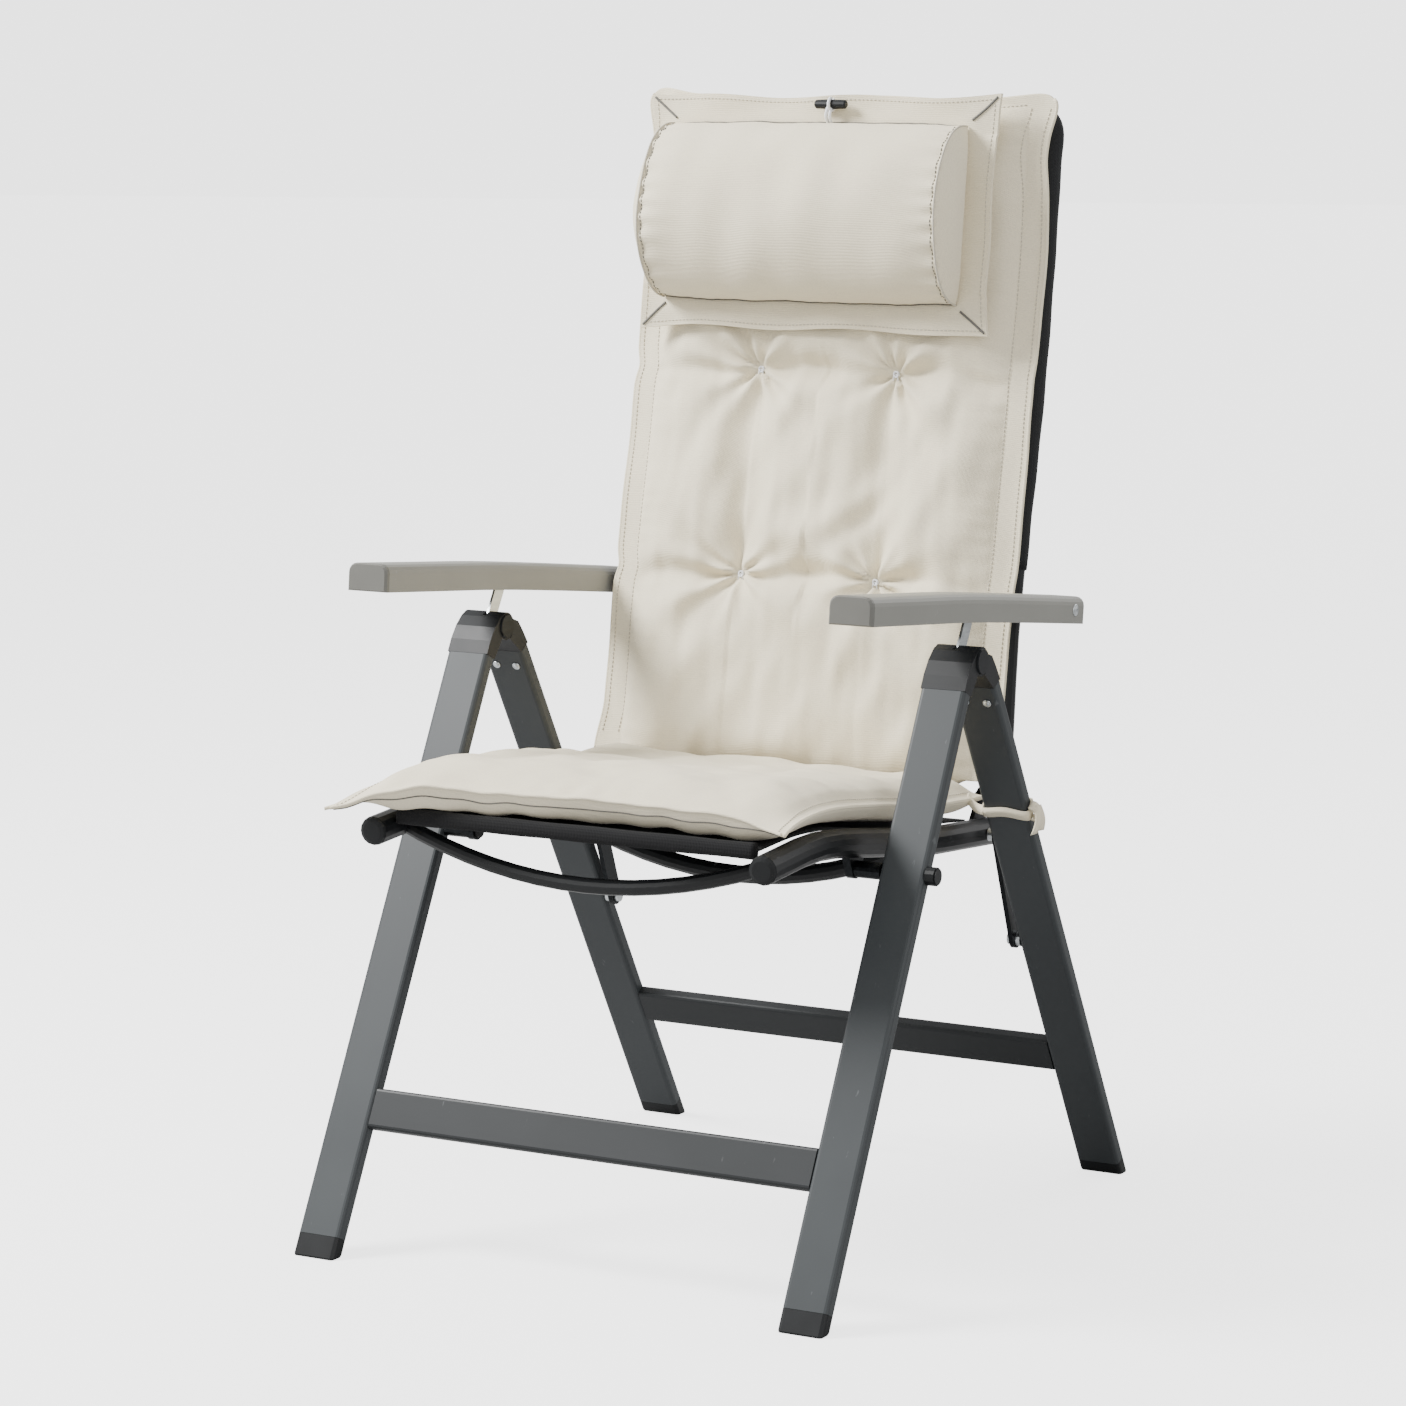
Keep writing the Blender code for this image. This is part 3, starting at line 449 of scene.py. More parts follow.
def closed_sheet(name, front, back, look):
    """A closed form from two grids of points of the same size, joined along their edges."""
    rows, columns = front.shape[:2]
    count = rows * columns
    faces = []
    for quad in grid_faces(rows, columns):
        faces.append(quad)
        faces.append([count + i for i in reversed(quad)])
    rim = list(range(columns)) + [r * columns + columns - 1 for r in range(1, rows)]
    rim += [(rows - 1) * columns + c for c in range(columns - 2, -1, -1)]
    rim += [r * columns for r in range(rows - 2, 0, -1)]
    for a, b in zip(rim, rim[1:] + rim[:1]):
        faces.append([b, a, count + a, count + b])
    return mesh_object(name, np.concatenate([front.reshape(-1, 3), back.reshape(-1, 3)]), faces, look)


def tube_mesh(name, points, radius, look, sides=8):
    """A closed tube along points."""
    points = np.array(points, float)
    slope = np.gradient(points, axis=0)
    slope /= np.linalg.norm(slope, axis=1)[:, None]
    side = np.cross(slope[0], (0.31, 0.17, 0.93))
    turns = np.arange(sides) * 2 * math.pi / sides
    rings = []
    for at, along in zip(points, slope):
        side = side - along * side.dot(along)
        side /= np.linalg.norm(side)
        up = np.cross(along, side)
        rings.append(at + radius * (np.outer(np.cos(turns), side) + np.outer(np.sin(turns), up)))
    faces = ring_faces(len(rings), sides) + end_faces(len(rings), sides)
    return mesh_object(name, np.concatenate(rings), faces, look)


def joined(name, objects):
    """The objects as one piece."""
    data = bpy.data.meshes.new(name)
    mesh = bmesh.new()
    looks = []
    for obj in objects:
        look = obj.data.materials[0]
        if look not in looks:
            looks.append(look)
        before = len(mesh.faces)
        mesh.from_mesh(obj.data)
        mesh.faces.ensure_lookup_table()
        for face in mesh.faces[before:]:
            face.material_index = looks.index(look)
    mesh.to_mesh(data)
    mesh.free()
    for look in looks:
        data.materials.append(look)
    for obj in objects:
        bpy.data.objects.remove(obj)
    made = bpy.data.objects.new(name, data)
    bpy.context.scene.collection.objects.link(made)
    return made


def walk(points, pitch):
    """Points at an even pitch along a polyline."""
    points = np.array(points, float)
    steps = np.linalg.norm(np.diff(points, axis=0), axis=1)
    at = np.concatenate(([0], np.cumsum(steps)))
    wanted = np.arange(0, at[-1], pitch)
    return np.stack([np.interp(wanted, at, points[:, i]) for i in range(3)], axis=1)


STITCH_LENGTH, STITCH_GAP = 0.0030, 0.0014
STITCH_RADIUS, STITCH_SIDES = 0.00055, 5
STITCH_SWELL = (0.35, 1.0, 1.0, 0.35)


def stitches(name, points, look):
    """A sewn line: short raised threads, each going under the cloth at both ends."""
    line = walk(points, (STITCH_LENGTH + STITCH_GAP) / 4)
    vertices, faces = [], []
    for start in range(0, len(line) - 4, 4):
        part = line[start:start + 4]
        along = part[-1] - part[0]
        size = np.linalg.norm(along)
        if size < 1e-6:
            continue
        along /= size
        side = np.cross(along, (0.31, 0.17, 0.93))
        side /= np.linalg.norm(side)
        up = np.cross(along, side)
        base = len(vertices)
        for place, swell in zip(part, STITCH_SWELL):
            for i in range(STITCH_SIDES):
                turn = i * 2 * math.pi / STITCH_SIDES
                out = math.cos(turn) * side + math.sin(turn) * up
                vertices.append(place + STITCH_RADIUS * swell * out)
        shape = ring_faces(len(STITCH_SWELL), STITCH_SIDES) + end_faces(len(STITCH_SWELL), STITCH_SIDES)
        faces += [[base + i for i in face] for face in shape]
    return mesh_object(name, vertices, faces, look)


# Cushions

HEM = 0.0030
STITCH_LIFT = 0.0004


def soft_ride(obj, body):
    """The piece rides on the body, with a mesh of its own."""
    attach(obj, body)
    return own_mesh(obj)


class Pad:
    """A stuffed pad laid along a side view curve: two cloth panels sewn at the rim.

    outline(u, v) gives the place across and along for u in -1..1 and v in 0..1, and front and back give the
    panels' heights off the curve.
    """

    def __init__(self, path, outline, front, back, drop, columns, rows):
        self.path, self.outline, self.front, self.back, self.drop = path, outline, front, back, drop
        self.columns, self.rows = columns, rows

    def surface(self, u, v, lift=0.0, under=False):
        u, v = np.asarray(u, float), np.asarray(v, float)
        x, s = self.outline(u, v)
        height = (self.back if under else self.front)(u, v, x, s)
        placed = self.path.place(x, s, height + lift)
        return placed + self.drop(u, v, x, s)

    def build(self, name, look):
        u, v = np.meshgrid(spread(self.columns), spread(self.rows) * 0.5 + 0.5)
        return closed_sheet(name, self.surface(u, v), self.surface(u, v, under=True), look)


def spread(count):
    """Values from -1 to 1, closer together near the ends."""
    even = np.linspace(-1, 1, count)
    return 0.72 * even + 0.28 * np.sin(even * math.pi / 2)


BACK_LINE = SidePath(((0.1330, 0.4200), (0.1410, 0.4700), (0.1500, 0.5200), (0.1580, 0.5743),
                      (0.1765, 0.6760), (0.1990, 0.7770), (0.2160, 0.8690), (0.2300, 0.9710),
                      (0.2370, 1.0450), (0.2420, 1.1080)))
BACK_HALF = 0.2260
BACK_FULL, BACK_UNDER = 0.0215, 0.0190
BACK_FLANGE = 0.0250
TUFT_X = 0.0770
TUFT_ROWS = tuple(BACK_LINE.distance_at(z) for z in (0.622, 0.829))
BACK_HEM_IN, BACK_TOP_IN = 0.0055, 0.0100
VALLEY_DEPTH, VALLEY_WIDTH = 0.66, 0.025
CREASE_DEPTH, CREASE_WIDTH, CREASE_SLOPE = 0.60, 0.0105, 0.028
WRINKLE_HEIGHT, DRAPE_HEIGHT, PUCKER_HEIGHT = 0.0062, 0.0034, 0.00045


def back_outline(u, v):
    """The sides pull in at the rows of tufts and below the ears. The top edge sags between its corners."""
    s = v * BACK_LINE.length
    side = np.sign(u)
    notch = (0.0022 - 0.0014 * side) * sum(bell(s - row, 0.012) for row in TUFT_ROWS)
    ear = 0.0060 * ease((s - BACK_LINE.length + 0.040) / 0.040)
    flare = 0.0080 * ease((0.060 - s) / 0.060)
    waist = 0.0010 * np.sin(s * 23 + 2 * side)
    half = BACK_HALF - notch + ear + flare + waist - 0.0035 * bell(s - BACK_LINE.length + 0.060, 0.025)
    half = half - 0.0050 * v**160
    top = 0.0060 * np.abs(u) ** 6 - 0.0020 + 0.0016 * np.sin(u * 7.0 + 0.6) - 0.0090 * np.abs(u) ** 36
    low = 0.0140 * ease((np.abs(u) - 0.70) / 0.12)
    return u * half, s + top * v**4 + low * (1 - v) ** 6


def back_fill(u, v, x, s):
    """How full the pad is, from 0 at the flange to 1, before the tufts."""
    side_in = BACK_HALF - np.abs(x) - BACK_FLANGE
    top_in = BACK_LINE.length - s - 0.010
    low_in = s - 0.004
    fill = 1.0
    for inside, reach in ((side_in, 0.075), (top_in, 0.060), (low_in, 0.050)):
        fill = fill * (1 - (1 - np.clip(inside / reach, 0, 1)) ** 2.6)
    return fill


def back_front(u, v, x, s):
    """The face: valleys down the tuft columns, creases along the rows, and folds fanning from each tuft."""
    fill = back_fill(u, v, x, s)
    height = fill * (1 + 0.05 * ripple(x, s, 0.13, 3))
    between = ease((s - TUFT_ROWS[0] + 0.03) / 0.06) * ease((TUFT_ROWS[1] + 0.03 - s) / 0.06)
    above, below = np.clip(s - TUFT_ROWS[1], 0, 9), np.clip(TUFT_ROWS[0] - s, 0, 9)
    outside = 0.42 * np.exp(-above / 0.10) * np.exp(-below / 0.12)
    line = np.maximum(between, outside)
    wander = 0.004 * np.sin(s * 31)
    height *= 1 - VALLEY_DEPTH * line * bell(np.abs(x) - TUFT_X + wander, VALLEY_WIDTH)
    for number, row in enumerate(TUFT_ROWS):
        bow = 0.0045 * np.cos(x * 41 + number) - 0.008 * ease((np.abs(x) - 0.10) / 0.10)
        crease = bell(s - row - bow, CREASE_WIDTH) + 0.5 * bell(s - row - bow, CREASE_SLOPE)
        height *= 1 - CREASE_DEPTH * crease * (0.72 + 0.28 * np.cos(x * 60 + number))
    wrinkle = 0.0
    for number, (side, row) in enumerate((side, row) for row in TUFT_ROWS for side in (-1, 1)):
        dx, ds = x - side * TUFT_X, s - row
        away = np.hypot(dx, ds)
        turn = np.arctan2(ds, dx)
        height *= 1 - 0.72 * bell(away, 0.0085) - 0.22 * bell(away, 0.030)
        folds = np.sin(7 * turn + number * 1.7 + 1.3 * np.sin(2 * turn + number))
        folds = folds + 0.35 * np.sin(11 * turn + number * 2.9)
        reach = 0.042 + 0.030 * (np.sign(x) * np.cos(turn) > 0)
        wrinkle = wrinkle + folds * np.exp(-away / reach) * ease(away / 0.018)
    edge_pucker = np.exp(-np.clip(BACK_HALF - BACK_FLANGE - np.abs(x), 0, 1) / 0.020)
    pucker = edge_pucker * np.sin(s * 330 + 2.1 * np.sin(s * 47)) * PUCKER_HEIGHT
    soft = 0.0020 * ripple(x * 1.5, s, 0.075, 11) + 0.0005 * ripple(x * 1.6, s, 0.030, 17)
    drape = DRAPE_HEIGHT * np.sin((x * 0.75 - s) * 62 + 3 * ripple(x, s, 0.20, 5))
    drape = drape * bell(s - 0.5 * sum(TUFT_ROWS), 0.075)
    folds = WRINKLE_HEIGHT * wrinkle + soft + drape * ease((0.11 - np.abs(x - 0.01)) / 0.09)
    return HEM / 2 + BACK_FULL * height + fill * folds + pucker * ease(fill * 6)


def back_under(u, v, x, s):
    return -HEM / 2 - BACK_UNDER * back_fill(u, v, x, s) ** 0.7


def flange_curl(u, v, x, s):
    """The thin flange waves a little, and the ears turn back."""
    out = ease((np.abs(x) - BACK_HALF + BACK_FLANGE + 0.004) / BACK_FLANGE)
    wave = 0.0012 * np.sin(s * 23 + 2 * np.sign(x)) + 0.0008 * np.sin(s * 61)
    ear = ease((s - BACK_LINE.length + 0.06) / 0.06) * ease((np.abs(x) - 0.17) / 0.05)
    y = out * (wave + 0.0030) + 0.0040 * ear
    return np.stack([np.zeros_like(x), y, 0.0050 * ear * (x < 0)], axis=-1)


def make_back_cushion():
    pad = Pad(BACK_LINE, back_outline, back_front, back_under, flange_curl, 210, 300)
    cushion = soft_ride(pad.build("back_cushion_cloth", CREAM), "back")
    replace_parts(cushion, "back_cushion")
    lines = []
    v = np.linspace(0.03, 0.985, 260)
    for side in (-1, 1):
        for inset in (BACK_FLANGE, BACK_HEM_IN):
            u = side * (1 - inset / BACK_HALF) * np.ones_like(v)
            lines.append(stitches("line", pad.surface(u, v, STITCH_LIFT), THREAD))
    u = np.linspace(-0.88, 0.88, 160)
    v = np.full_like(u, 1 - BACK_TOP_IN / BACK_LINE.length)
    lines.append(stitches("line", pad.surface(u, v, STITCH_LIFT), THREAD))
    soft_ride(joined("back_cushion_stitching", lines), "back")
    rim_v = np.linspace(0, 1, 240)
    cords = []
    for side in (-1, 1):
        edge = pad.surface(np.full_like(rim_v, side * 0.9985), rim_v, -HEM / 2)
        cords.append(tube_mesh("edge", edge, 0.0019, CREAM, 8))
    soft_ride(joined("back_cushion_edge", cords), "back")
    knots = []
    for row in TUFT_ROWS:
        for side in (-1, 1):
            u = np.array([side * TUFT_X / BACK_HALF])
            v = np.array([row / BACK_LINE.length])
            at = pad.surface(u, v, 0.0006)[0]
            knots.append(tuft_knot(at))
    soft_ride(joined("back_cushion_tufts", knots), "back")


def tuft_knot(at):
    """A small whipped knot: three turns of thread and two cut ends."""
    parts = []
    turns = np.linspace(0, 2 * math.pi, 18)
    for number in range(3):
        tilt = 1.05 * number
        out = -0.0010 - 0.0006 * number + 0.0008 * np.sin(turns + tilt)
        ring = np.stack([0.0030 * np.cos(turns), out, 0.0022 * np.sin(turns)], axis=1)
        spin = np.array(Matrix.Rotation(-tilt, 3, "Y"))
        parts.append(tube_mesh("turn", at + ring @ spin.T, 0.0008, ELASTIC, 6))
    for side in (-1, 1):
        places = ((0, -0.0012, 0), (side * 0.0020, -0.0030, -0.0020), (side * 0.0026, -0.0022, -0.0062))
        parts.append(tube_mesh("tail", at + smooth_line(places, 5), 0.0006, ELASTIC, 6))
    return joined("knot", parts)


SEAT_LINE = SidePath(((-0.3500, 0.4500), (-0.3100, 0.4560), (-0.2212, 0.4570), (-0.1142, 0.4460),
                      (0.0, 0.4300), (0.0700, 0.4252), (0.1060, 0.4234)))
SEAT_HALF = 0.2250
SEAT_FULL, SEAT_UNDER = 0.0215, 0.0175
SEAT_TAIL = 0.0090


def seat_outline(u, v):
    """The front edge is hollow between two pointed corners, and the sides pull in behind them."""
    start = 0.0300 * (1 - np.abs(u) ** 3.0) + 0.0140 * (u + 1) - 0.009 * (u < 0) * np.abs(u) ** 8
    start = start + 0.0022 * np.sin(u * 9 + 0.5)
    s = start + (SEAT_LINE.length + SEAT_TAIL - start) * v
    pull = 0.0110 * np.sin(np.clip(v, 0, 1) * math.pi) ** 0.8
    point = (0.0085 - 0.0020 * np.sign(u)) * np.exp(-s / 0.030)
    half = SEAT_HALF - pull + point
    return u * half, s


def seat_fill(u, v, x, s, sharp):
    """How full the pad is. sharp is how far in from the front edge it fills up."""
    side_in = (1 - np.abs(u)) * SEAT_HALF
    front_in = v * SEAT_LINE.length
    rear_in = (1 - v) * SEAT_LINE.length
    corner = np.hypot(np.clip(0.065 - side_in, 0, 1), np.clip(0.065 - front_in, 0, 1)) / 0.092
    fill = 1.0
    for inside, reach in ((side_in, 0.060), (front_in, sharp), (rear_in, 0.045)):
        fill = fill * (1 - (1 - np.clip(inside / reach, 0, 1)) ** 2.4)
    return fill * (1 - 0.96 * ease((corner - 0.50) / 0.32))


def seat_front(u, v, x, s):
    """The face: soft lumps, a puckered front, one pulled fold and two shallow dents."""
    fill = seat_fill(u, v, x, s, 0.110)
    front_pucker = np.exp(-np.clip(v * SEAT_LINE.length, 0, 1) / 0.022)
    front_pucker = 0.0010 * front_pucker * np.sin(x * 170 + 2.4 * np.sin(x * 23))
    soft = 0.0026 * ripple(x, s, 0.11, 23) + 0.0009 * ripple(x, s, 0.040, 29)
    pull = bell((x - 0.145) * 0.8 + (s - 0.08) * 0.6, 0.012)
    pull = 0.0016 * pull * ease((s - 0.02) / 0.05) * ease((0.24 - s) / 0.10)
    dent = sum(0.16 * bell(x - side * 0.080, 0.045) * bell(s - 0.30, 0.050) for side in (-1, 1))
    return HEM / 2 + SEAT_FULL * fill * (1 - dent) + fill * soft - pull + front_pucker * ease(fill * 5)


def seat_under(u, v, x, s):
    """The underside, fuller and lumpy near the front edge."""
    fill = seat_fill(u, v, x, s, 0.014)
    front = np.exp(-np.clip(v * SEAT_LINE.length, 0, 1) / 0.060)
    lumps = 0.0012 * (np.sin(x * 47 + 0.8) + np.sin(x * 121) - 2) * front
    return -HEM / 2 - (SEAT_UNDER + 0.0075 * front + lumps) * fill**0.6


def seat_drop(u, v, x, s):
    """The corners droop at the front."""
    near = np.exp(-np.clip(s, 0, 1) / 0.040)
    corner = ease((np.abs(u) - 0.62) / 0.38)
    wave = 0.0020 * np.sin(x * 31 + 1.0) + 0.0012 * np.sin(x * 83 + 0.5) + 0.0010 * np.sin(x * 151)
    droop = 0.0270 + 0.0030 * np.sign(u)
    return np.stack([np.zeros_like(x), np.zeros_like(x), near * (0.0150 + wave - droop * corner)], axis=-1)


def make_seat_cushion():
    pad = Pad(SEAT_LINE, seat_outline, seat_front, seat_under, seat_drop, 200, 220)
    cushion = soft_ride(pad.build("seat_cushion_cloth", CREAM), "seat")
    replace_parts(cushion, "seat_cushion")
    along = np.linspace(-0.985, 0.985, 220)
    low = np.zeros_like(along)
    v = np.linspace(0, 0.96, 200)
    # A thin dark line on the underside, just below the front edge cord: painted shadow under the rolled front
    # edge.
    front_edge_shadow_line = pad.surface(along, low + 0.0060, -STITCH_LIFT, under=True)
    seam = [tube_mesh("seam", front_edge_shadow_line, 0.0007, DARK_THREAD_AND_SHADOW, 6)]
    edge = [tube_mesh("edge", pad.surface(along, low, -HEM / 2), 0.0018, CREAM, 8)]
    for side in (-1, 1):
        u = np.full_like(v, side)
        edge.append(tube_mesh("edge", pad.surface(u * 0.9985, v, -HEM / 2), 0.0018, CREAM, 8))
        seam.append(stitches("line", pad.surface(u * (1 - 0.0075 / SEAT_HALF), v, STITCH_LIFT), THREAD))
    soft_ride(joined("seat_cushion_edge", edge), "seat")
    soft_ride(joined("seat_cushion_stitching", seam), "seat")
    return pad


# The head pillow

PILLOW_MIDDLE = (-0.0120, 0.2030, 0.9890)
PILLOW_TILT = math.radians(-6.5)
PILLOW_WIDTH, PILLOW_HEIGHT = 0.386, 0.235
BOLSTER_WIDTH, BOLSTER_HEIGHT, BOLSTER_DEPTH = 0.332, 0.180, 0.070
BOLSTER_FOOT = -0.0070
FLANGE_THICK = 0.0042
END_RINGS, END_PUFF, END_SHARE = 7, 0.0150, 0.97


def on_pillow(x, y, z):
    """Pillow coordinates, with x across, y backwards and z up, in the world."""
    turn = np.array(Matrix.Rotation(PILLOW_TILT, 3, "X"))
    return np.stack([x, y, z], axis=-1) @ turn.T + np.array(PILLOW_MIDDLE)


def flange_y(x, z):
    """The flange's front face: flat by the bolster, wavy at its free edge."""
    out = ease((np.maximum(np.abs(x) / (PILLOW_WIDTH / 2), np.abs(z) / (PILLOW_HEIGHT / 2)) - 0.78) / 0.22)
    wave = 0.0022 * np.sin(x * 52 + 1) * (np.abs(z) > 0.08) + 0.0018 * np.sin(z * 60)
    return BOLSTER_FOOT + 0.0010 - out * wave


def flange_point(u, v, lift=0.0):
    """A place on the flange for u and v in -1..1. A negative lift lies behind its front face."""
    x = u * PILLOW_WIDTH / 2 * (1 + 0.020 * np.abs(v) ** 6)
    z = v * PILLOW_HEIGHT / 2 * (1 + 0.022 * np.abs(u) ** 6) + 0.0018 * np.sin(x * 37) * np.abs(v) ** 6
    return on_pillow(x, flange_y(x, z) - lift, z)


def bolster_point(along, turn, lift=0.0):
    """along is -1..1 across the bolster, and turn runs from -90 degrees below to 90 above."""
    end = np.abs(along)
    fullness = 1 - 0.050 * end**6 + 0.012 * np.sin(along * 5 + 0.7)
    depth = BOLSTER_DEPTH * fullness + lift
    tall = BOLSTER_HEIGHT / 2 * (1 - 0.020 * end**6) + lift
    near_end = np.exp(-(1 - end) / 0.070)
    gather = 0.0026 * (np.sin(turn * 26 + 1.3 * np.sin(turn * 5)) - 1)
    gather = gather * near_end * ease((1 - end) / 0.02)
    foot = np.exp(-(math.pi / 2 - np.abs(turn)) / 0.16)
    pucker = foot * 0.0011 * np.sin(along * 46 + 2 * np.sin(along * 9))
    swell = gather + pucker * np.cos(turn) ** 0.4 + 0.0012 * ripple(along * 0.17, turn * 0.07, 0.07, 41)
    shape = np.abs(np.cos(turn)) ** 0.92
    x = along * BOLSTER_WIDTH / 2 - 0.0030
    return on_pillow(x, BOLSTER_FOOT - (depth + swell) * shape, (tall + swell * 0.6) * np.sin(turn))


def make_bolster():
    """The stuffed roll: a curved shell, a flat back, and a puffed disc at each end."""
    across, turn = np.meshgrid(np.linspace(-1, 1, 150), np.linspace(-math.pi / 2, math.pi / 2, 90))
    shell = bolster_point(across, turn)
    rows, columns = shell.shape[:2]
    points = list(shell.reshape(-1, 3))
    faces = grid_faces(rows, columns)
    faces.append(list(range(columns)) + [(rows - 1) * columns + c for c in reversed(range(columns))])
    for column, side in ((0, -1), (columns - 1, 1)):
        edge = shell[:, column]
        middle = edge.mean(axis=0)
        earlier = [r * columns + column for r in range(rows)]
        for ring in range(1, END_RINGS + 1):
            share = ring / END_RINGS
            puff = END_PUFF * (1 - (1 - share) ** 2) * side
            now = list(range(len(points), len(points) + rows))
            points.extend(edge + (middle - edge) * share * END_SHARE + np.array([puff, 0, 0]))
            for r in range(rows):
                after = (r + 1) % rows
                faces.append([earlier[r], earlier[after], now[after], now[r]])
            earlier = now
        faces.append(earlier)
    return mesh_object("bolster", points, faces, CREAM)


def make_head_pillow():
    u, v = np.meshgrid(np.linspace(-1, 1, 120), np.linspace(-1, 1, 80))
    flange = closed_sheet("flange", flange_point(u, v), flange_point(u, v, -FLANGE_THICK), CREAM)
    pillow = joined("head_pillow_cloth", [flange, make_bolster()])
    pillow.data.shade_smooth()
    pillow.data.set_sharp_from_angle(angle=math.radians(60))
    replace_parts(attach(pillow, "back"), "head_pillow")
    make_pillow_seams()


def make_pillow_seams():
    """The bolster's end and foot seams, the flange's mitres and its stitched border."""
    seams = []
    t = np.linspace(-math.pi / 2, math.pi / 2, 90)
    for side in (-1, 1):
        seam = bolster_point(np.full_like(t, side * 0.998), t, STITCH_LIFT)
        seams.append(tube_mesh("seam", seam, 0.0010, THREAD, 6))
        line = bolster_point(np.full_like(t, side * 0.975), t, STITCH_LIFT)
        seams.append(stitches("line", line, DARK_THREAD_AND_SHADOW))
    a = np.linspace(-0.98, 0.98, 160)
    for end in (-1, 1):
        foot = bolster_point(a, np.full_like(a, end * 1.545), 0.0006)
        seams.append(tube_mesh("seam", foot, 0.0008, DARK_THREAD_AND_SHADOW, 6))
        for side in (-1, 1):
            steps = np.linspace(0, 1, 24)
            bow = 0.0024 * np.sin(steps * math.pi)
            u = side * (0.862 + 0.123 * steps + bow)
            v = end * (0.800 + 0.175 * steps - bow)
            seams.append(tube_mesh("mitre", flange_point(u, v, 0.0003), 0.0013, DARK_THREAD_AND_SHADOW, 6))
    for u0, v0, u1, v1 in ((-1, -1, 1, -1), (1, -1, 1, 1), (1, 1, -1, 1), (-1, 1, -1, -1)):
        steps = np.linspace(0, 1, 120)
        line = flange_point(0.975 * (u0 + (u1 - u0) * steps), 0.960 * (v0 + (v1 - v0) * steps), 0.0002)
        seams.append(stitches("line", line, THREAD))
    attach(joined("head_pillow_stitching", seams), "back")


LOOP_REACH, LOOP_RADIUS = 0.0064, 0.0016


def make_elastic_loop():
    """The loop sewn to the pillow, over the toggle's bar."""
    low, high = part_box("pillow_toggle")
    middle = np.array((low + high) / 2)
    around = []
    for step in range(13):
        turn = math.radians(-70 + 320 * step / 12) + 1.2
        place = (0.0008 * step / 12, -LOOP_REACH * math.sin(turn), LOOP_REACH * math.cos(turn))
        around.append(place)
    left = smooth_line(((-0.0045, 0.0040, -0.0200), (-0.0035, -0.0040, -0.0100), around[0]), 8)
    right = smooth_line((around[-1], (0.0010, -0.0045, -0.0100), (-0.0015, 0.0040, -0.0200)), 8)
    loop = middle + np.concatenate([left[:-1], around, right[1:]])
    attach(tube_mesh("pillow_elastic_loop", loop, LOOP_RADIUS, ELASTIC, 8), "back")


# Slings

SLING_THICK = 0.0016
SLING_SAG = {"back": 0.0040, "seat": 0.0030}
BACK_SLING_HALF, SEAT_SLING_HALF = 0.1945, 0.1925
HEM_HALF, HEM_DEPTH, HEM_TALL = 0.1910, 0.0100, 0.0160
SEAT_SLING = SidePath(((-0.3080, 0.4295), (-0.2212, 0.4335), (-0.1142, 0.4215), (0.0, 0.4050),
                       (0.0900, 0.3977), (0.1360, 0.3942)))
BACK_SLING = SidePath(((0.1853, 0.4450), (0.1945, 0.5743), (0.2133, 0.6760), (0.2358, 0.7770),
                       (0.2523, 0.8690), (0.2663, 0.9710), (0.2735, 1.0430)))
BACK_RAIL_END, BACK_TOP = (0.2728, 1.0350), (0.2790, 1.0860)
BACK_RAIL = SidePath(((0.1785, 0.4025), (0.1864, 0.4845), (0.1945, 0.5743), (0.2133, 0.6760),
                      (0.2358, 0.7770), (0.2523, 0.8690), (0.2663, 0.9710), BACK_RAIL_END))
BACK_RAIL_X, BACK_RADIUS, TOP_BEND = 0.2080, 0.0125, 0.0460
SLEEVE_FOOT, SLEEVE_CORNER, SLEEVE_IN, SLEEVE_OUT = 0.6400, 0.0130, 0.0005, 0.0017


def make_sling(body, path, half):
    """The cloth panel stretched between that body's rails, a little slack in the middle."""
    u, v = np.meshgrid(np.linspace(-1, 1, 70), np.linspace(0, 1, 90))
    s = v * path.length
    height = -SLING_SAG[body] * (1 - u**2) * np.sin(v * math.pi) + 0.0006 * ripple(u * half, s, 0.12, 53)
    front = path.place(u * half, s, height + SLING_THICK / 2)
    back = path.place(u * half, s, height - SLING_THICK / 2)
    sling = closed_sheet(body + "_sling_cloth", front, back, SLING)
    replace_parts(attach(sling, body), body + "_sling")


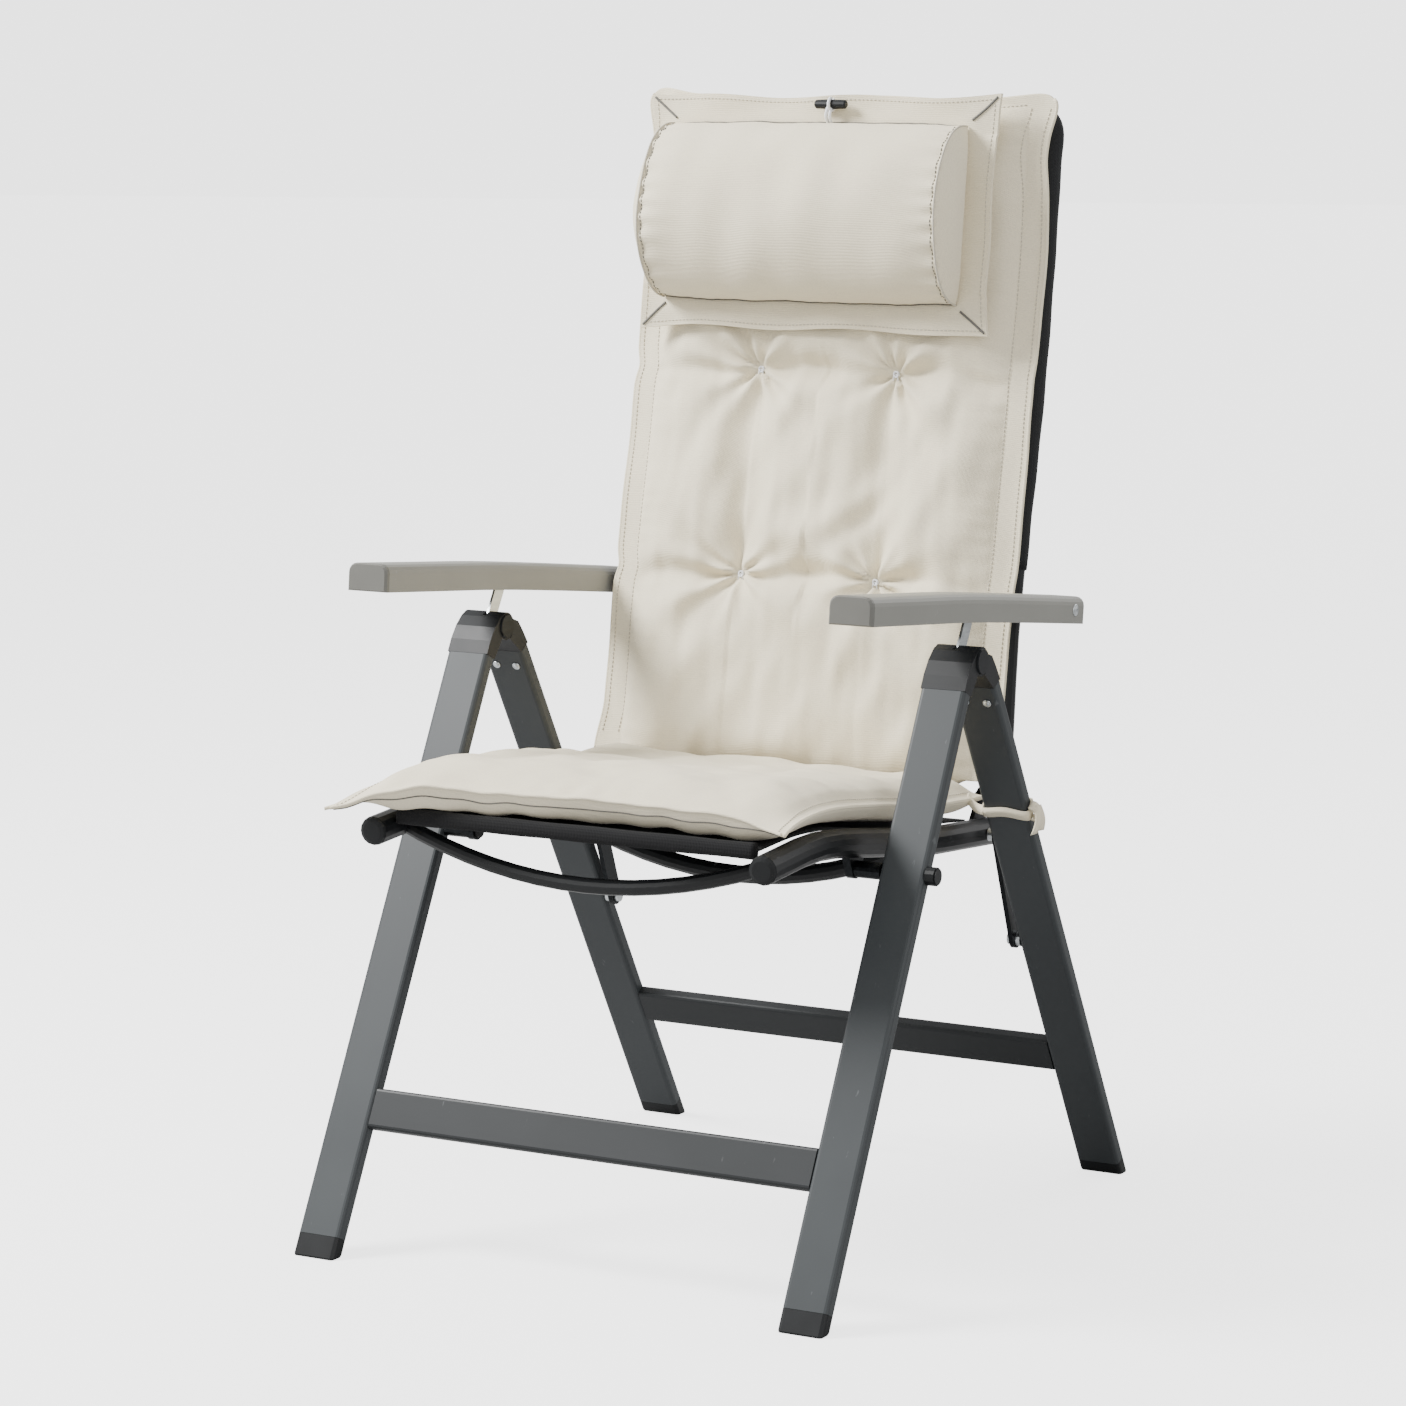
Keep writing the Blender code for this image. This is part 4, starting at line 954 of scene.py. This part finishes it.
def make_sleeve(name, side):
    """The sling's pocket round a back rail and its bend, as a thin shell of cloth."""
    along_rail = np.linspace(BACK_RAIL.distance_at(SLEEVE_FOOT), BACK_RAIL.length, 50)
    places = list(BACK_RAIL.place(np.full(50, side * BACK_RAIL_X), along_rail, 0.0))
    corners = [np.zeros(3)] * len(places)
    climb = np.array(BACK_TOP) - np.array(BACK_RAIL_END)
    height = np.linalg.norm(climb)
    climb /= height
    for turn in np.linspace(0, math.radians(80), 16)[1:]:
        across = BACK_RAIL_X - TOP_BEND * (1 - math.cos(turn))
        up = height - TOP_BEND * (1 - math.sin(turn))
        places.append((side * across, *(np.array(BACK_RAIL_END) + climb * up)))
        corners.append(np.array([side * math.cos(turn), *(climb * math.sin(turn))]) * math.sin(2 * turn))
    places = np.array(places)
    slope = np.gradient(places, axis=0)
    slope /= np.linalg.norm(slope, axis=1)[:, None]
    turns = np.linspace(0, 2 * math.pi, 33)[:-1]
    first = np.array([0, climb[1], -climb[0]])
    rings = []
    for offset, order in ((SLEEVE_IN, -1), (SLEEVE_OUT, 1)):
        for index, (at, along) in list(enumerate(zip(places, slope)))[::order]:
            out = first - along * along.dot(first)
            out /= np.linalg.norm(out)
            over = np.cross(along, out)
            size = BACK_RADIUS + offset
            if offset == SLEEVE_OUT:
                size += 0.0003 * math.sin(index * 0.7)
            around = np.outer(np.cos(turns), out) + np.outer(np.sin(turns), over)
            loose = np.clip(around @ corners[index], 0, 1)[:, None] * corners[index] * SLEEVE_CORNER
            rings.append(at + size * around + loose)
    faces = ring_faces(len(rings), len(turns), looped=True)
    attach(mesh_object(name, np.concatenate(rings), faces, SLING), "back")


def make_seat_hem():
    """The seat sling's rolled front hem, between the seat rails, in the sling cloth painted darker as shade
    under the seat cushion's front edge.
    """
    across = np.linspace(-HEM_HALF, HEM_HALF, 90)
    turns = np.linspace(0, 2 * math.pi, 25)[:-1]
    rings = []
    for x in across:
        deep = HEM_DEPTH / 2 * np.cos(turns)
        tall = HEM_TALL / 2 * np.sin(turns) * (1 + 0.03 * math.sin(x * 70))
        rings.append(np.stack([np.full_like(turns, x), deep, tall], axis=-1) + (0, *SEAT_SLING.line[0]))
    faces = ring_faces(len(rings), len(turns)) + end_faces(len(rings), len(turns))
    hem = mesh_object("seat_sling_hem", np.concatenate(rings), faces, SHADED_HEM_CLOTH)
    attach(hem, "seat")


def make_slings():
    make_sling("back", BACK_SLING, BACK_SLING_HALF)
    make_sling("seat", SEAT_SLING, SEAT_SLING_HALF)
    make_seat_hem()
    for name, side in SIDES:
        make_sleeve("back_sleeve_" + name, side)


# Ties and rivets


def band(name, centre, width, thick, look):
    """A flat strap: centre is a list of (point, width direction, outward direction)."""
    points = []
    for at, wide, out in centre:
        at, wide, out = (np.array(v, float) for v in (at, wide, out))
        for a, b in ((-1, -1), (1, -1), (1, 1), (-1, 1)):
            points.append(at + a * wide * width / 2 + b * out * thick / 2)
    faces = ring_faces(len(centre), 4) + end_faces(len(centre), 4)
    return mesh_object(name, points, faces, look)


REAR_LEAN, REAR_FOOT_Y = math.radians(-31.55), 0.3435
LEG_X, LEG_WIDTH, LEG_DEPTH = 0.262, 0.046, 0.016
TIE_HEIGHT, TIE_WIDTH, TIE_THICK = 0.4200, 0.0110, 0.0016
WRAP_WIDTH, WRAP_THICK, TAIL_WIDTH, STRAND_WIDTH = 0.0100, 0.0034, 0.0090, 0.0095


def rear_leg_frame(z):
    """The rear leg's middle at that height, and its lengthwise and depthwise directions."""
    up = np.array([0, math.sin(REAR_LEAN), math.cos(REAR_LEAN)])
    back = np.array([0, math.cos(REAR_LEAN), -math.sin(REAR_LEAN)])
    middle = np.array([0, REAR_FOOT_Y + math.tan(REAR_LEAN) * z, z])
    return middle, up, back


def make_tie(side_name, side, seat_pad):
    """A loop round the rear leg, a wrapped knot with two tails, and the strand from the cushion."""
    middle, up, back = rear_leg_frame(TIE_HEIGHT)
    centre = middle + np.array([side * LEG_X, 0, 0])
    across = np.array([1.0, 0, 0])
    reach_x, reach_y = LEG_WIDTH / 2 + TIE_THICK, LEG_DEPTH / 2 + TIE_THICK
    loop = []
    for step in range(41):
        turn = 2 * math.pi * step / 40
        c, s = math.cos(turn), math.sin(turn)
        corner = (abs(c) ** 8 + abs(s) ** 8) ** (-1 / 8)
        at = centre + across * reach_x * c * corner + back * reach_y * s * corner
        at = at + up * 0.0020 * math.sin(3 * turn)
        out = across * c + back * s
        loop.append((at, up, out / np.linalg.norm(out)))
    parts = [band("loop", loop, TIE_WIDTH, TIE_THICK, CREAM)]
    knot_at = centre + across * side * (reach_x + 0.0035) - back * 0.002
    wraps = []
    for step in range(15):
        turn = math.radians(-30 + 240 * step / 14)
        at = knot_at + up * 0.0070 * math.cos(turn) + across * side * 0.0042 * math.sin(turn)
        out = up * math.cos(turn) + across * side * math.sin(turn)
        wraps.append((at, back, out))
    parts.append(band("wrap", wraps, WRAP_WIDTH, WRAP_THICK, CREAM))
    for number, (lean, length) in enumerate(((0.004, 0.030), (-0.005, 0.022))):
        tail = []
        for step in range(9):
            share = step / 8
            swing = across * side * (0.0040 + 0.0030 * math.sin(share * 3)) + back * (lean * share * 2)
            at = knot_at + swing + np.array([0, 0, 0.006 - length * share])
            tail.append((at, (0.25, 0.97, 0.1 * number), (0.97 * side, -0.25 * side, 0.2)))
        parts.append(band("tail", tail, TAIL_WIDTH, TIE_THICK, CREAM))
    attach(joined("cushion_tie_loop_" + side_name, parts), "rear_frame")
    start = seat_pad.surface(np.array([side * 0.985]), np.array([0.930]), -0.001)[0]
    end = centre - across * side * (reach_x - 0.001) - back * (reach_y - 0.002)
    middle_at = (start + end) / 2 + np.array([0, 0, -0.0030])
    line = smooth_line((start, middle_at, end), 8)
    strand = [(at, (0.0, 0.35, 0.94), (0.0, -0.94, 0.35)) for at in line]
    piece = band("cushion_tie_strand_" + side_name, strand, STRAND_WIDTH, TIE_THICK, CREAM)
    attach(piece, "rear_frame")
    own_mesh(piece)


RIVET_SIDES = 20
RIVET_PROFILE = ((0.01, 0.00175), (0.35, 0.00160), (0.62, 0.00120), (0.72, 0.00070), (0.80, 0.00110),
                 (0.92, 0.00105), (1.0, 0.00050), (1.0, 0.00005), (0.01, 0.00005))
ARMREST_RIVET, ARMREST_RIVET_RADIUS = (0.1988, 0.6035), 0.0060
KNUCKLE_RIVET_HEIGHT, KNUCKLE_RIVET_OUT, KNUCKLE_RIVET_RADIUS = 0.5370, 0.0115, 0.0042


def rivet(name, at, out, radius):
    """A domed rivet with a rolled ring round it."""
    out = Vector(out).normalized()
    basis = out.to_track_quat("Z", "Y").to_matrix()
    points = []
    for share, height in RIVET_PROFILE:
        for i in range(RIVET_SIDES):
            turn = 2 * math.pi * i / RIVET_SIDES
            place = (share * radius * math.cos(turn), share * radius * math.sin(turn), height)
            points.append(Vector(at) + basis @ Vector(place))
    rings = len(RIVET_PROFILE)
    faces = ring_faces(rings, RIVET_SIDES) + end_faces(rings, RIVET_SIDES)
    return mesh_object(name, points, faces, STEEL)


def make_rivets():
    for name, side in SIDES:
        low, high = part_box("armrest_" + name)
        outer = high.x if side > 0 else low.x
        piece = rivet("armrest_rivet_" + name, (outer, *ARMREST_RIVET), (side, 0, 0), ARMREST_RIVET_RADIUS)
        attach(piece, "armrest_" + name)
        middle, _, back = rear_leg_frame(KNUCKLE_RIVET_HEIGHT)
        parts = []
        for offset in (-KNUCKLE_RIVET_OUT, KNUCKLE_RIVET_OUT):
            at = middle - back * LEG_DEPTH / 2 + np.array([side * LEG_X + offset, 0, 0])
            parts.append(rivet("rivet", at, -back, KNUCKLE_RIVET_RADIUS))
        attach(joined("knuckle_rivets_" + name, parts), "rear_frame")


# The scene

make_camera()
make_studio()
dress_nodes()
make_back_cushion()
seat_pad = make_seat_cushion()
make_head_pillow()
make_elastic_loop()
make_slings()
for tie_name, tie_side in SIDES:
    make_tie(tie_name, tie_side, seat_pad)
make_rivets()
